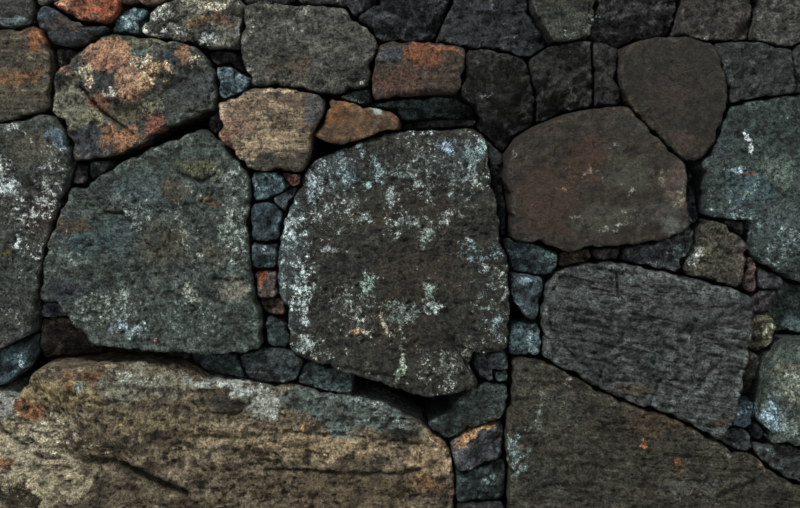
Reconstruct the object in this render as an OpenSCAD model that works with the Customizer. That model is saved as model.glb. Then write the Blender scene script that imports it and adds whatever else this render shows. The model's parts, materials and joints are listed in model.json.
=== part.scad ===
// Free-standing dry stone wall of dark basalt rubble, built without mortar.
// X runs along the wall, -Y is the front face, and Z is up from the ground.
// Both faces lean inwards, their stones tail back onto a hearting of small
// rubble, through stones close both ends, and a cope lies across the top.

/* [Wall] */
// Length over the two wall heads
wall_len = 2800; // [2500:10:3200]
// Height from the ground to the underside of the cope
body_h = 1280; // [1150:10:1450]
// Thickness at the ground
base_t = 740; // [680:10:820]
// Thickness under the cope
top_t = 500; // [460:10:560]

/* [Stones] */
// Half-width of an open joint at the face
joint_half = 7; // [4:1:9]
// Depth of the worn arris round a face stone
arris = 42; // [30:1:50]
// Roughness of a dressed-by-nature face
rough = 7; // [0:1:10]
// Share of a stone's depth over which its beds are in contact
bed_share = 0.75; // [0.6:0.05:0.85]

/* [Hearting] */
// Thickness of the hearting at the ground
core_base = 120; // [80:10:140]
// Thickness of the hearting under the cope
core_top = 70; // [50:10:90]

/* [Cope] */
// Height of the tallest cope stone
cope_h = 120; // [90:5:150]
// Open joint between cope stones
cope_gap = 5; // [3:1:10]

/* [Hidden] */

// The joint map is drawn for this length and height, and scales with the wall
map_len = 2800;
map_h = 1280;

// Long and short through stones of the heads, alternating in these courses
head_levels = [0, 265, 510, 765, 1010, 1280];
head_long = 440;
head_short = 310;
// How far each head stone's end stands back from the longest one, left and right
head_setback = [[0, 12, 4, 15, 7], [9, 3, 14, 0, 11]];

// Share of its height at which a head stone is longest, and how far its lower and
// upper corners fall short of that
head_belly = 0.55;
head_short_low = 6;
head_short_high = 9;
// How far the middle of a plain stone's face stands out from its worn edge
plain_crown = 8;

// Lengths of the cope stones along the wall, and how far each is below the tallest
cope_lengths = [330, 415, 290, 375, 340, 400, 310, 340];
cope_drop = [14, 0, 22, 8, 17, 4, 12, 20];
// Outline of a cope stone: its square shoulder, and the two bends of its worn top,
// as distances from its ends and shares of its height
cope_shoulder = 0.62;
cope_bend = 28;
cope_bend_share = 0.94;
cope_peak_off = 20;
// Worn arris of a cope stone: depth into the stone and width on its end
cope_arris = 26;
cope_chamfer = 6;

// Face stone: share of its outline at the crown of the face and at the tail, and
// how far the crown stands out from the worn edge
crown_share = 0.55;
tail_share = 0.84;
crown_rise = 14;

// Pin: share of its outline at the face and at the tail, depth of its worn edge,
// depth of its bed and its whole length into the wall
pin_face = 0.84;
pin_tail = 0.7;
pin_edge = 18;
pin_bed = 60;
pin_depth = 130;
// A stone with a smaller outline than this, in square millimetres, is a pin
pin_area = 12000;

// Back stone: share of its outline at the face and at the tail
back_face = 0.97;
back_tail = 0.9;

// Least divisor of a mitred corner, which keeps it from running to a spike
mitre_least = 0.6;

// Junctions and bends of the joints on the front face: millimetres to the right
// of the wall's middle, and millimetres above the ground
JUNCTIONS = [
    // 0: the foot of the wall, then the toothing of the left head
    [-960, 0], [112, 0], [212, 0], [960, 0],
    [-960, 265], [-1090, 265], [-1090, 510], [-960, 510],
    [-960, 765], [-1090, 765], [-1090, 1010], [-960, 1010], [-960, 1280],
    // 13: the toothing of the right head
    [960, 265], [1090, 265], [1090, 510], [960, 510],
    [960, 765], [1090, 765], [1090, 1010], [960, 1010], [960, 1280],
    // 22: the packing between the two foot boulders
    [112, 180], [112, 250], [100, 300], [70, 320], [50, 345],
    [130, 244], [175, 258], [212, 272], [222, 250], [215, 180],
    [140, 328], [185, 342], [212, 352], [220, 390], [222, 425],
    [192, 428], [166, 428], [132, 412], [100, 375],
    // 41: the open joint under the lichened stone
    [-95, 445], [-40, 430], [0, 415], [60, 398],
    [-95, 403], [-50, 396], [-18, 384], [12, 364],
    // 49: the chips on top of the left boulder, and the joint above them
    [-618, 470], [-500, 474], [-430, 462], [-390, 438], [-345, 432],
    [-312, 430], [-255, 418], [-212, 424], [-160, 408],
    [-618, 502], [-530, 494], [-430, 488], [-330, 482], [-300, 490],
    [-276, 522], [-272, 498], [-222, 494], [-192, 472], [-145, 462],
    // 68: the wedges and the slab at the left end of the boulder
    [-728, 592], [-690, 588], [-668, 554], [-640, 524], [-736, 554],
    [-742, 520], [-745, 478], [-735, 460], [-700, 466], [-650, 464],
    [-775, 506], [-880, 470], [-885, 392], [-805, 414], [-770, 444],
    [-775, 404], [-750, 430], [-905, 300],
    // 86: the joint between the tall left stone and the green stone
    [-722, 640], [-714, 695], [-700, 742], [-682, 792], [-668, 828],
    [-662, 866], [-668, 908], [-682, 950], [-706, 974],
    [-760, 958], [-850, 938], [-930, 930],
    // 98: round the upper left stone
    [-960, 1140], [-850, 1136], [-765, 1138], [-738, 1150], [-716, 1130],
    [-704, 1106], [-700, 1050], [-704, 1010], [-648, 1098], [-672, 1072],
    // 108: over the rust stone and down its right side
    [-618, 1114], [-594, 1128], [-560, 1130], [-526, 1126], [-470, 1116],
    [-420, 1108], [-398, 1096], [-376, 1064], [-368, 1030], [-366, 992],
    [-390, 966], [-366, 975], [-358, 945], [-372, 924], [-392, 942],
    // 123: the open joint between the rust stone and the green stone
    [-425, 954], [-465, 938], [-500, 918], [-545, 892], [-592, 874],
    [-586, 860], [-530, 888], [-490, 908], [-445, 920], [-415, 936],
    [-634, 824], [-614, 876], [-652, 822], [-638, 872],
    // 137: down the right side of the green stone
    [-335, 890], [-316, 868], [-302, 852], [-300, 788], [-306, 745],
    [-302, 710], [-298, 652], [-290, 594], [-276, 560],
    // 146: the pins between the green and the lichened stone
    [-244, 852], [-222, 820], [-262, 796], [-198, 846], [-202, 824],
    [-220, 792], [-234, 768], [-240, 738], [-246, 708], [-250, 656],
    [-248, 625], [-244, 598], [-230, 576], [-230, 560], [-224, 530],
    // 161: the right side and the top of the lichened stone
    [142, 468], [150, 490], [216, 492], [220, 545], [222, 598],
    [222, 646], [220, 672], [206, 714], [198, 770], [190, 820],
    [182, 870], [172, 925], [150, 942], [80, 938], [2, 935],
    [-40, 928], [-98, 906], [-150, 888], [-180, 872],
    // 180: the pins between the lichened, brown and ribbed stones
    [190, 450], [222, 452], [222, 478], [262, 478], [284, 476],
    [290, 520], [280, 552], [258, 548], [288, 590], [300, 638],
    [322, 656], [322, 688], [300, 698], [278, 708], [222, 714],
    [394, 672], [388, 698], [440, 672], [452, 702], [500, 660],
    [568, 644], [572, 668], [592, 692], [598, 738], [582, 740],
    [548, 722], [505, 710], [630, 630], [690, 614], [698, 655],
    [700, 688], [702, 712], [703, 732], [668, 736], [645, 756],
    [618, 758], [698, 752], [614, 805], [612, 850], [602, 872],
    // 220: up the right side of the brown stone and over it
    [574, 868], [576, 800], [540, 896], [508, 930], [478, 962],
    [455, 985], [400, 982], [340, 970], [280, 945], [240, 920],
    [216, 885], [208, 846], [218, 805], [222, 760],
    // 234: the joint between the ribbed stone and the right boulder
    [300, 470], [345, 447], [395, 418], [445, 394], [500, 374],
    [545, 362], [580, 344], [615, 325], [645, 310],
    [666, 334], [686, 392], [694, 445], [702, 496], [710, 558], [714, 602],
    // 249: the slab, chips and pins right of it
    [960, 190], [800, 222], [768, 240], [738, 260], [714, 286],
    [675, 287], [714, 308], [706, 334], [805, 298], [775, 306], [742, 302],
    [742, 328], [718, 350], [720, 388], [730, 430], [734, 478],
    [752, 490], [768, 516], [758, 562], [764, 590], [772, 612],
    [728, 612], [722, 668], [780, 638], [748, 654], [800, 518],
    [960, 600], [812, 624],
    // 277: round the tall right stone and the wedge beside it
    [935, 880], [945, 1000], [860, 1012], [800, 1008], [740, 1000],
    [690, 992], [662, 985], [624, 890], [642, 930], [656, 965],
    [664, 1015], [650, 1065], [632, 1112], [560, 1126], [490, 1120],
    [445, 1100], [436, 1040], [385, 1118], [392, 1055],
    // 296: the upper stones right of the middle
    [310, 1110], [262, 1080], [282, 1010], [200, 1098], [134, 1100],
    [130, 1045], [120, 1008], [150, 985], [160, 958], [6, 952],
    [-10, 972], [-56, 992], [70, 958], [50, 1005], [-10, 1000],
    [70, 1113], [0, 1115], [-42, 1110], [-55, 1065], [-60, 1022],
    // 316: round the orange wedge and the tan stone
    [-130, 1000], [-105, 1014], [-152, 1004], [-176, 922], [-132, 903],
    [-146, 980], [-158, 950], [-200, 1016], [-250, 1022], [-300, 1020],
    [-330, 1002], [-302, 1040], [-350, 1068], [-320, 1072], [-326, 1098],
    // 331: round the top dark stone and the mottled stone
    [-60, 1140], [-96, 1162], [-110, 1184], [-210, 1188], [-300, 1192],
    [-316, 1190], [-314, 1140], [-340, 1215], [-400, 1220], [-450, 1202],
    [-505, 1182], [-515, 1160], [-528, 1150], [-530, 1190], [-560, 1186],
    [-585, 1150], [-732, 1180], [-705, 1188], [-660, 1160], [-630, 1146],
    // 351: the levelling stones under the cope
    [-668, 1212], [-578, 1222], [-745, 1280], [-570, 1280], [-410, 1280],
    [-190, 1280], [-40, 1280], [-45, 1195], [110, 1280], [105, 1195],
    [-70, 984], [262, 1280], [268, 1180], [400, 1190], [410, 1280],
    [575, 1200], [580, 1280], [720, 1118], [740, 1200], [745, 1280],
    [800, 1100], [960, 1150], [850, 1140]
];

// Every stone of one face: name, group, how far it stands proud of the face
// (negative where it is set back), and the junctions round it. Stones of one
// group never touch each other. Pins are the short stones wedged in last.
STONES = [
    ["boulder_left", "c", 20, [0, 1, 22, 23, 24, 25, 26, 48, 47, 46, 45, 57, 56, 55, 54,
        53, 52, 51, 50, 49, 77, 76, 75, 84, 83, 81, 80, 85, 4]],
    ["boulder_right", "a", 12, [2, 3, 249, 250, 251, 252, 253, 254, 242, 241, 240, 239,
        238, 237, 236, 235, 234, 184, 183, 182, 181, 36, 35, 34, 29, 30, 31]],
    ["green_stone", "a", 18, [121, 137, 138, 139, 140, 141, 142, 143, 144, 145, 63, 64,
        62, 61, 60, 59, 58, 71, 70, 69, 68, 86, 87, 88, 89, 90, 135, 133, 128, 129, 130, 131,
        132, 122]],
    ["lichen_stone", "b", 22, [65, 66, 67, 41, 42, 43, 44, 39, 38, 161, 162, 163, 164,
        165, 166, 167, 168, 169, 170, 171, 172, 173, 174, 175, 176, 177, 178, 179, 149,
        150, 151, 152, 153, 154, 155, 156, 157, 158, 159, 160]],
    ["brown_stone", "a", 14, [194, 193, 192, 191, 196, 198, 206, 205, 204, 221, 220, 222,
        223, 224, 225, 226, 227, 228, 229, 230, 231, 232, 233]],
    ["ribbed_stone", "b", 16, [184, 234, 235, 236, 237, 238, 239, 240, 241, 242, 243,
        244, 245, 246, 247, 248, 208, 207, 200, 199, 197, 195, 190, 189, 188, 186, 185]],
    ["tall_stone_left", "d", 12, [7, 79, 78, 73, 72, 68, 86, 87, 88, 89, 90, 91, 92, 93,
        94, 95, 96, 97, 8]],
    ["tall_stone_right", "d", 6, [215, 214, 216, 212, 211, 210, 271, 273, 272, 276, 275, 17,
        277, 278, 279, 280, 281, 282, 283, 286, 285, 284, 219, 218, 217]],
    ["rust_stone", "c", 18, [91, 92, 93, 94, 105, 104, 107, 106, 108, 109, 110, 111, 112,
        113, 114, 115, 116, 117, 119, 118, 123, 124, 125, 126, 127, 134, 136]],
    ["tan_stone", "d", 18, [121, 137, 138, 139, 146, 149, 179, 319, 322, 321, 318, 323,
        324, 325, 326, 117, 119, 120]],
    ["orange_wedge", "a", 6, [319, 320, 177, 176, 175, 305, 306, 361, 316, 318, 321,
        322]],
    ["wedge_stone", "c", 4, [220, 219, 284, 285, 286, 283, 287, 288, 289, 290, 291, 292,
        293, 225, 224, 223, 222]],
    ["top_dark_stone", "c", 12, [318, 316, 317, 315, 314, 313, 331, 332, 333, 334, 335, 336,
        337, 330, 329, 327, 325, 324, 323]],
    ["top_rust_stone", "a", 8, [307, 310, 309, 302, 301, 300, 311, 312, 313, 314, 315]],
    ["mottled_stone", "a", 12, [111, 112, 113, 114, 330, 337, 336, 338, 339, 340, 341,
        342, 343]],
    ["left_upper_stone", "a", 10, [94, 95, 96, 97, 11, 98, 99, 100, 101, 102, 103, 104,
        105]],
    ["triangle_stone", "c", 6, [200, 207, 208, 209, 210, 211, 213, 214, 215, 203,
        202, 201]],
    ["corner_stone_right", "c", 8, [259, 258, 257, 13, 14, 15, 16, 274, 266, 265, 264,
        263, 262, 261, 260]],
    ["dark_block", "d", 0, [26, 25, 24, 32, 33, 34, 35, 36, 37, 38, 39, 40]],
    ["blue_slab", "d", 2, [103, 102, 101, 347, 348, 349, 350, 346, 109, 108, 106]],
    ["red_stone", "a", 8, [346, 350, 349, 348, 351, 352, 345]],
    ["top_left_stone", "b", 8, [98, 12, 353, 347, 101, 100, 99]],
    ["packing_low", "b", -14, [1, 2, 31, 22]],
    ["streaked_chip", "d", -8, [22, 31, 30, 29, 28, 27, 23]],
    ["capped_block", "b", 2, [24, 23, 27, 28, 29, 34, 33, 32]],
    ["grey_fragment", "c", 4, [38, 37, 180, 181, 182, 163, 162, 161]],
    ["teal_chip", "b", -6, [37, 36, 181, 180]],
    ["flat_chip", "a", -14, [56, 57, 45, 41, 67, 66]],
    ["low_chip_right", "d", -10, [54, 55, 56, 66, 65, 64, 62, 61]],
    ["low_chip_left", "b", -16, [51, 52, 53, 54, 61, 60]],
    ["low_pin", "d", -46, [49, 50, 51, 60, 59, 58]],
    ["hollow_pin_upper", "c", -24, [68, 72, 70, 69]],
    ["hollow_pin_lower", "b", -46, [72, 73, 74, 75, 76, 77, 49, 58, 71, 70]],
    ["diagonal_slab", "a", -4, [73, 78, 79, 80, 81, 82, 74]],
    ["end_stone_low", "b", 6, [5, 4, 85, 80, 79, 7, 6]],
    ["end_stone_high", "c", 4, [9, 8, 97, 11, 10]],
    ["layered_chip", "b", -26, [104, 107, 106, 103]],
    ["small_chip", "b", -18, [122, 121, 120, 119, 118]],
    ["notch_chip_right", "d", -16, [127, 128, 133, 136, 134]],
    ["notch_chip_left", "b", -26, [90, 135, 133, 136, 91]],
    ["pale_teal_chip", "b", 0, [140, 148, 147, 146, 139]],
    ["brown_chip", "c", -6, [147, 150, 149, 146]],
    ["grey_pin", "d", -12, [148, 152, 151, 150, 147]],
    ["blue_pin_upper", "c", -6, [142, 154, 153, 152, 148, 140, 141]],
    ["blue_pin_lower", "d", -4, [143, 155, 154, 142]],
    ["rust_pin", "c", -10, [144, 157, 156, 155, 143]],
    ["orange_pin", "d", -12, [145, 159, 158, 157, 144]],
    ["grey_block", "c", -14, [64, 65, 160, 159, 145, 63]],
    ["pale_block", "d", -4, [182, 183, 184, 185, 186, 187, 164, 163]],
    ["tooth_stone", "a", 0, [187, 186, 188, 189, 166, 165]],
    ["thin_wedge", "c", 0, [166, 189, 190, 191, 192, 193, 194, 168, 167]],
    ["sliver_left", "d", -12, [190, 195, 196, 191]],
    ["sliver_right", "c", -8, [195, 197, 198, 196]],
    ["grey_lens", "d", -2, [197, 199, 200, 201, 202, 203, 204, 205, 206, 198]],
    ["side_chip", "a", -18, [211, 212, 216, 214, 213]],
    ["thin_strip_right", "b", -50, [204, 203, 215, 217, 218, 219, 220, 221]],
    ["thin_strip_left", "d", -54, [168, 194, 233, 232, 231, 230, 172, 171, 170, 169]],
    ["round_chip", "c", -8, [242, 254, 253, 255, 256, 243]],
    ["low_slab_right", "b", -6, [253, 252, 251, 250, 249, 13, 257, 258, 259, 255]],
    ["dark_chip_right", "a", -30, [255, 259, 260, 261, 256]],
    ["pale_pin_right", "d", -8, [243, 256, 261, 262, 244]],
    ["long_pin_right", "a", -16, [244, 262, 263, 264, 246, 245]],
    ["upright_pin_right", "d", -8, [246, 264, 265, 266, 267, 247]],
    ["little_pin_right", "c", -24, [247, 267, 268, 269, 270, 248]],
    ["pink_sliver", "a", -10, [208, 248, 270, 271, 210, 209]],
    ["grey_chip_right", "b", -14, [270, 269, 272, 273, 271]],
    ["middle_stone_right", "a", 2, [266, 274, 16, 275, 276, 272, 269, 268, 267]],
    ["end_stone_right", "c", 4, [17, 18, 19, 20, 278, 277]],
    ["upper_stone_a", "c", 2, [172, 230, 229, 228, 298, 297, 299, 300, 301, 302, 303,
        304, 173]],
    ["upper_stone_b", "d", 8, [228, 227, 226, 295, 294, 296, 297, 298]],
    ["upper_stone_c", "b", 2, [226, 225, 293, 292, 294, 295]],
    ["dark_shelf", "d", -34, [175, 174, 173, 304, 308, 305]],
    ["teal_ledge", "b", -8, [305, 308, 304, 303, 302, 309, 310, 307, 361, 306]],
    ["pale_sliver", "d", -18, [316, 361, 307, 315, 317]],
    ["teal_grey_chip", "b", 2, [117, 326, 325, 327, 328, 115, 116]],
    ["shaded_stone", "d", -24, [115, 328, 327, 329, 330, 114]],
    ["teal_spotted_chip", "b", -14, [109, 110, 111, 343, 342, 341, 344, 345, 346]],
    ["levelling_a", "c", 4, [347, 353, 354, 352, 351, 348]],
    ["levelling_b", "d", 6, [344, 345, 352, 354, 355, 339, 340, 341]],
    ["levelling_c", "b", 8, [338, 339, 355, 356, 334, 335, 336]],
    ["levelling_d", "a", 4, [334, 356, 357, 358, 332, 333]],
    ["levelling_e", "d", 8, [313, 312, 311, 360, 359, 357, 358, 332, 331]],
    ["levelling_f", "b", 2, [311, 300, 299, 297, 296, 363, 362, 359, 360]],
    ["levelling_g", "c", 8, [296, 294, 364, 365, 362, 363]],
    ["levelling_h", "a", 4, [294, 292, 291, 290, 366, 367, 365, 364]],
    ["levelling_i", "d", 6, [290, 289, 368, 369, 370, 367, 366]],
    ["shaded_top_right", "a", 0, [283, 282, 281, 280, 371, 368, 289, 288, 287]],
    ["end_stone_top", "b", 6, [280, 279, 278, 20, 372, 373, 371]],
    ["levelling_j", "c", 4, [368, 371, 373, 372, 21, 370, 369]]
];

// The junctions round the field between the heads
FIELD_EDGE = concat([0], [for (k = [4:12]) k], [for (k = [21:-1:13]) k], [3]);

// Names of the stones that stand in nodes of their own on the front: the first ones
own_nodes = 22;
FACE_STONES = [for (i = [0:own_nodes - 1]) STONES[i][0]];

// Faces of the wall and of the hearting, as distances from the middle plane
function face_y(z) = -(base_t - (base_t - top_t) * z / body_h) / 2;
function core_y(z) = -(core_base - (core_base - core_top) * z / body_h) / 2;

// A junction of the joint map, scaled to the wall
function junction(i) = [JUNCTIONS[i].x * wall_len / map_len, JUNCTIONS[i].y * body_h / map_h];

// Twice the signed area of an outline, and its centre of area
function cross2(a, b) = a.x * b.y - a.y * b.x;
function next(p, i) = p[(i + 1) % len(p)];
function sum(v, i = 0) = i == len(v) ? 0 * v[0] : v[i] + sum(v, i + 1);
function area2(p) = sum([for (i = [0:len(p) - 1]) cross2(p[i], next(p, i))]);
function centre(p) =
    sum([for (i = [0:len(p) - 1]) (p[i] + next(p, i)) * cross2(p[i], next(p, i))])
    / (3 * area2(p));
function anticlockwise(p) = area2(p) > 0 ? p : [for (i = [len(p) - 1:-1:0]) p[i]];

// Outline moved inwards by d, with its corners mitred but never run to a spike
function inward(a, b) = [a.y - b.y, b.x - a.x] / norm(b - a);
function inset(p, d) = [for (i = [0:len(p) - 1])
    let(n1 = inward(p[(i + len(p) - 1) % len(p)], p[i]), n2 = inward(p[i], next(p, i)))
    p[i] + (n1 + n2) * d / max(1 + n1 * n2, mitre_least)];
function shrink(p, s) = let(c = centre(p)) [for (q = p) c + (q - c) * s];

// A ring of a stone: an outline standing a distance behind the wall's face, but
// never beyond the foot of the wall
function ring(p, back, tilt = 0, seed = 0) =
    let(r = rands(-1, 1, len(p), seed))
    [for (i = [0:len(p) - 1])
        [p[i].x, max(-base_t / 2, face_y(p[i].y) + back + tilt * r[i]), p[i].y]];
// A ring a share t of the way from the wall's face to the hearting
function ring_at(p, t) =
    [for (q = p) [q.x, face_y(q.y) * (1 - t) + core_y(q.y) * t, q.y]];

// Solid through a list of rings, closed by a fan at each end
module loft(rings, front_point, back_point) {
    n = len(rings[0]);
    last = len(rings) - 1;
    points = concat([for (r = rings) each r], [front_point, back_point]);
    sides = [for (k = [0:last - 1], i = [0:n - 1]) let(j = (i + 1) % n)
        each [[k * n + i, k * n + j, k * n + n + j], [k * n + i, k * n + n + j, k * n + n + i]]];
    caps = [for (i = [0:n - 1]) let(j = (i + 1) % n)
        each [[n * (last + 1), j, i], [n * (last + 1) + 1, last * n + i, last * n + j]]];
    polyhedron(points = points, faces = concat(sides, caps));
}

function outline(s) = anticlockwise([for (i = s[3]) junction(i)]);
function mean3(r) = sum(r) / len(r);
// Point in the middle of a ring, standing out from it by rise
function peak(r, rise) = let(m = mean3(r)) [m.x, max(-base_t / 2, m.y - rise), m.z];

// Boulder or face stone: a crowned face, a worn arris, flat beds and a tail that
// narrows onto the hearting
module face_stone(s) {
    p = outline(s);
    seed = s[3][0] + len(p);
    edge = inset(p, joint_half);
    crown = ring(shrink(edge, crown_share), -s[2], rough, seed);
    worn = ring(edge, crown_rise - s[2], rough, seed + 1);
    tail = ring_at(shrink(p, tail_share), 1);
    loft([crown, worn, ring(p, arris), ring_at(p, bed_share), tail],
        peak(crown, rough / 3), mean3(tail));
}

// Pin or chip: a short stone wedged between its neighbours
module pin_stone(s) {
    p = outline(s);
    back = pin_edge - s[2];
    worn = ring(shrink(p, pin_face), -s[2], rough / 2, s[3][0]);
    tail = ring(shrink(p, pin_tail), back + pin_depth);
    loft([worn, ring(p, back), ring(p, back + pin_bed), tail],
        peak(worn, rough / 2), mean3(tail));
}

// Plainer stone of the back face, one loft from its arris to its tail
module back_stone(s) {
    p = outline(s);
    edge = inset(shrink(p, back_face), joint_half / 2);
    worn = ring(edge, plain_crown - s[2] / 2, rough / 2, s[3][0]);
    tail = ring_at(shrink(p, back_tail), 1);
    loft([worn, ring(p, arris), tail], peak(worn, plain_crown), mean3(tail));
}

function wide(s) = area2(outline(s)) > 2 * pin_area;
function stone(name) = STONES[search([name], STONES)[0]];

// One stone of the front, or every smaller stone of one group
module front_stone(name) { face_stone(stone(name)); }
module front_group(group) {
    for (s = STONES) if (s[1] == group && search([s[0]], FACE_STONES) == [[]])
        if (wide(s)) face_stone(s); else pin_stone(s);
}

// The back face has the same stones, turned half round
module back_group(group) {
    rotate([0, 0, 180]) for (s = STONES) if (s[1] == group)
        if (wide(s)) back_stone(s); else pin_stone(s);
}

// A ring mirrored to the other face of the wall
function flip(r) = [for (q = r) [q.x, -q.y, q.z]];

// Through stone of a head: a rough block across the whole thickness of the wall
module head_stone(side, course) {
    long = course % 2 == 0 ? head_long : head_short;
    outer = wall_len / 2 - head_setback[side][course];
    inner = (map_len / 2 - long) * wall_len / map_len;
    z0 = head_levels[course] * body_h / map_h;
    z1 = head_levels[course + 1] * body_h / map_h;
    mid = z0 + (z1 - z0) * head_belly;
    right = [[inner, z0], [outer - head_short_low, z0], [outer, mid],
        [outer - head_short_high, z1], [inner, z1]];
    p = anticlockwise(side == 1 ? right : [for (q = right) [-q.x, q.y]]);
    worn = ring(inset(p, joint_half), plain_crown, rough / 2, course + 7 * side);
    near = ring(p, arris);
    far = flip(near);
    end = flip(ring(inset(p, joint_half), plain_crown, rough / 2, course + 3));
    loft([worn, near, far, end], peak(worn, plain_crown),
        flip([peak(worn, plain_crown)])[0]);
}

// Every second through stone of a head, from the course given upwards
module head(side, first) {
    for (course = [first:2:len(head_levels) - 2]) head_stone(side, course);
}

// Hearting: the tapered core between the tails, out to the teeth of both heads
module hearting() {
    color("#3a3d3c") intersection() {
        rotate([90, 0, 0]) linear_extrude(core_base, center = true)
            polygon([for (i = FIELD_EDGE) junction(i)]);
        rotate([90, 0, 90]) linear_extrude(wall_len, center = true)
            polygon([[-core_base / 2, 0], [core_base / 2, 0],
                [core_top / 2, body_h], [-core_top / 2, body_h]]);
    }
}

// Cope stone: a rough slab across the wall, with its top worn round
module cope_stone(x0, x1, h) {
    z0 = body_h;
    side = z0 + h * cope_shoulder;
    bend = z0 + h * cope_bend_share;
    p = [[x0, z0], [x1, z0], [x1, side], [x1 - cope_bend, bend],
        [(x0 + x1) / 2 + cope_peak_off, z0 + h], [x0 + cope_bend, bend], [x0, side]];
    front = [for (q = inset(p, cope_chamfer)) [q.x, -top_t / 2, q.y]];
    near = [for (q = p) [q.x, cope_arris - top_t / 2, q.y]];
    loft([front, near, flip(near), flip(front)], mean3(front), mean3(flip(front)));
}

module cope_stones() {
    color("#454846") for (i = [0:len(cope_lengths) - 1]) {
        total = sum(cope_lengths);
        start = i == 0 ? 0 : sum([for (k = [0:i - 1]) cope_lengths[k]]);
        x0 = (start / total - 0.5) * wall_len;
        x1 = ((start + cope_lengths[i]) / total - 0.5) * wall_len;
        cope_stone(x0 + (i == 0 ? 0 : cope_gap / 2),
            x1 - (i == len(cope_lengths) - 1 ? 0 : cope_gap / 2), cope_h - cope_drop[i]);
    }
}

module boulder_left() { color("#6b6250") front_stone("boulder_left"); }
module boulder_right() { color("#45423c") front_stone("boulder_right"); }
module green_stone() { color("#454c48") front_stone("green_stone"); }
module lichen_stone() { color("#3b3a35") front_stone("lichen_stone"); }
module brown_stone() { color("#4f443b") front_stone("brown_stone"); }
module ribbed_stone() { color("#3d4042") front_stone("ribbed_stone"); }
module tall_stone_left() { color("#4b4c49") front_stone("tall_stone_left"); }
module tall_stone_right() { color("#3f4a4b") front_stone("tall_stone_right"); }
module rust_stone() { color("#7b6450") front_stone("rust_stone"); }
module tan_stone() { color("#7a6657") front_stone("tan_stone"); }
module orange_wedge() { color("#7a5240") front_stone("orange_wedge"); }
module wedge_stone() { color("#4b4039") front_stone("wedge_stone"); }
module top_dark_stone() { color("#4c4b49") front_stone("top_dark_stone"); }
module top_rust_stone() { color("#5c483e") front_stone("top_rust_stone"); }
module mottled_stone() { color("#6f6f69") front_stone("mottled_stone"); }
module left_upper_stone() { color("#57524c") front_stone("left_upper_stone"); }
module triangle_stone() { color("#55524a") front_stone("triangle_stone"); }
module corner_stone_right() { color("#565b56") front_stone("corner_stone_right"); }
module dark_block() { color("#363c3b") front_stone("dark_block"); }
module blue_slab() { color("#33383d") front_stone("blue_slab"); }
module red_stone() { color("#8a5540") front_stone("red_stone"); }
module top_left_stone() { color("#4a4d4d") front_stone("top_left_stone"); }
module front_small_stones_a() { color("#40474a") front_group("a"); }
module front_small_stones_b() { color("#454c4c") front_group("b"); }
module front_small_stones_c() { color("#3c4244") front_group("c"); }
module front_small_stones_d() { color("#393d3d") front_group("d"); }
module back_stones_a() { color("#484b49") back_group("a"); }
module back_stones_b() { color("#424647") back_group("b"); }
module back_stones_c() { color("#504c45") back_group("c"); }
module back_stones_d() { color("#3e4141") back_group("d"); }
module left_head_long() { color("#4a4a47") head(0, 0); }
module left_head_short() { color("#434747") head(0, 1); }
module right_head_long() { color("#464a49") head(1, 0); }
module right_head_short() { color("#4d4a45") head(1, 1); }

boulder_left();
boulder_right();
green_stone();
lichen_stone();
brown_stone();
ribbed_stone();
tall_stone_left();
tall_stone_right();
rust_stone();
tan_stone();
orange_wedge();
wedge_stone();
top_dark_stone();
top_rust_stone();
mottled_stone();
left_upper_stone();
triangle_stone();
corner_stone_right();
dark_block();
blue_slab();
red_stone();
top_left_stone();
front_small_stones_a();
front_small_stones_b();
front_small_stones_c();
front_small_stones_d();
back_stones_a();
back_stones_b();
back_stones_c();
back_stones_d();
left_head_long();
left_head_short();
right_head_long();
right_head_short();
hearting();
cope_stones();
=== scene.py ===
"""Dresses the dry stone wall: every stone as a weathered block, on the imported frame.

Each stone's outline is found from its solid in the frame. A grid inside that outline is
worn back by noise, facets, ledges and cracks, and one shared finish reads the colours
and marks that are stored at the vertices.
"""

import json
import logging
import math
from dataclasses import dataclass, field, replace
from enum import Enum
from typing import Dict, List, Tuple

import bpy
import numpy as np
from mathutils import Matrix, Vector


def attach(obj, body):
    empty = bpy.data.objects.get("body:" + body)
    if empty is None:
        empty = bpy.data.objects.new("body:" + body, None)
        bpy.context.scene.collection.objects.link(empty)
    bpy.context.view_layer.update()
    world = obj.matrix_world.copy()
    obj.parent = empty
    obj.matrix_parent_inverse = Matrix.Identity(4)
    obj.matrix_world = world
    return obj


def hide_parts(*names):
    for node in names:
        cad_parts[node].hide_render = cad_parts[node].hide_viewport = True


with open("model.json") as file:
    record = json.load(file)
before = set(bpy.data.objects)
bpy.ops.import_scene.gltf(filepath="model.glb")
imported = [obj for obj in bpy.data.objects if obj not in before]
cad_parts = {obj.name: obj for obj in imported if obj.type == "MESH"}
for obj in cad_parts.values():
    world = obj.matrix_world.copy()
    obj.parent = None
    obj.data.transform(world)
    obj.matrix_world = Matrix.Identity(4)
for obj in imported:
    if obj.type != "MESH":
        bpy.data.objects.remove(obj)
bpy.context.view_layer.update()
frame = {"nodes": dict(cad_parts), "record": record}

LOG = logging.getLogger("dry_stone_wall")
MM = 0.001
Colour = Tuple[float, float, float]


def tone(code: str) -> Colour:
    """Turns a colour written as six hex digits into linear light.

    Each channel c becomes ((c + 0.055) / 1.055) to the power 2.4, or c / 12.92 where
    it is near black.

    Args:
        code: Red, green and blue as two hex digits each.

    Returns:
        The colour as three linear values.
    """
    parts = [int(code[k:k + 2], 16) / 255 for k in (0, 2, 4)]
    return tuple(c / 12.92 if c <= 0.04045 else ((c + 0.055) / 1.055) ** 2.4 for c in parts)


# Sizes and noise


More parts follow.
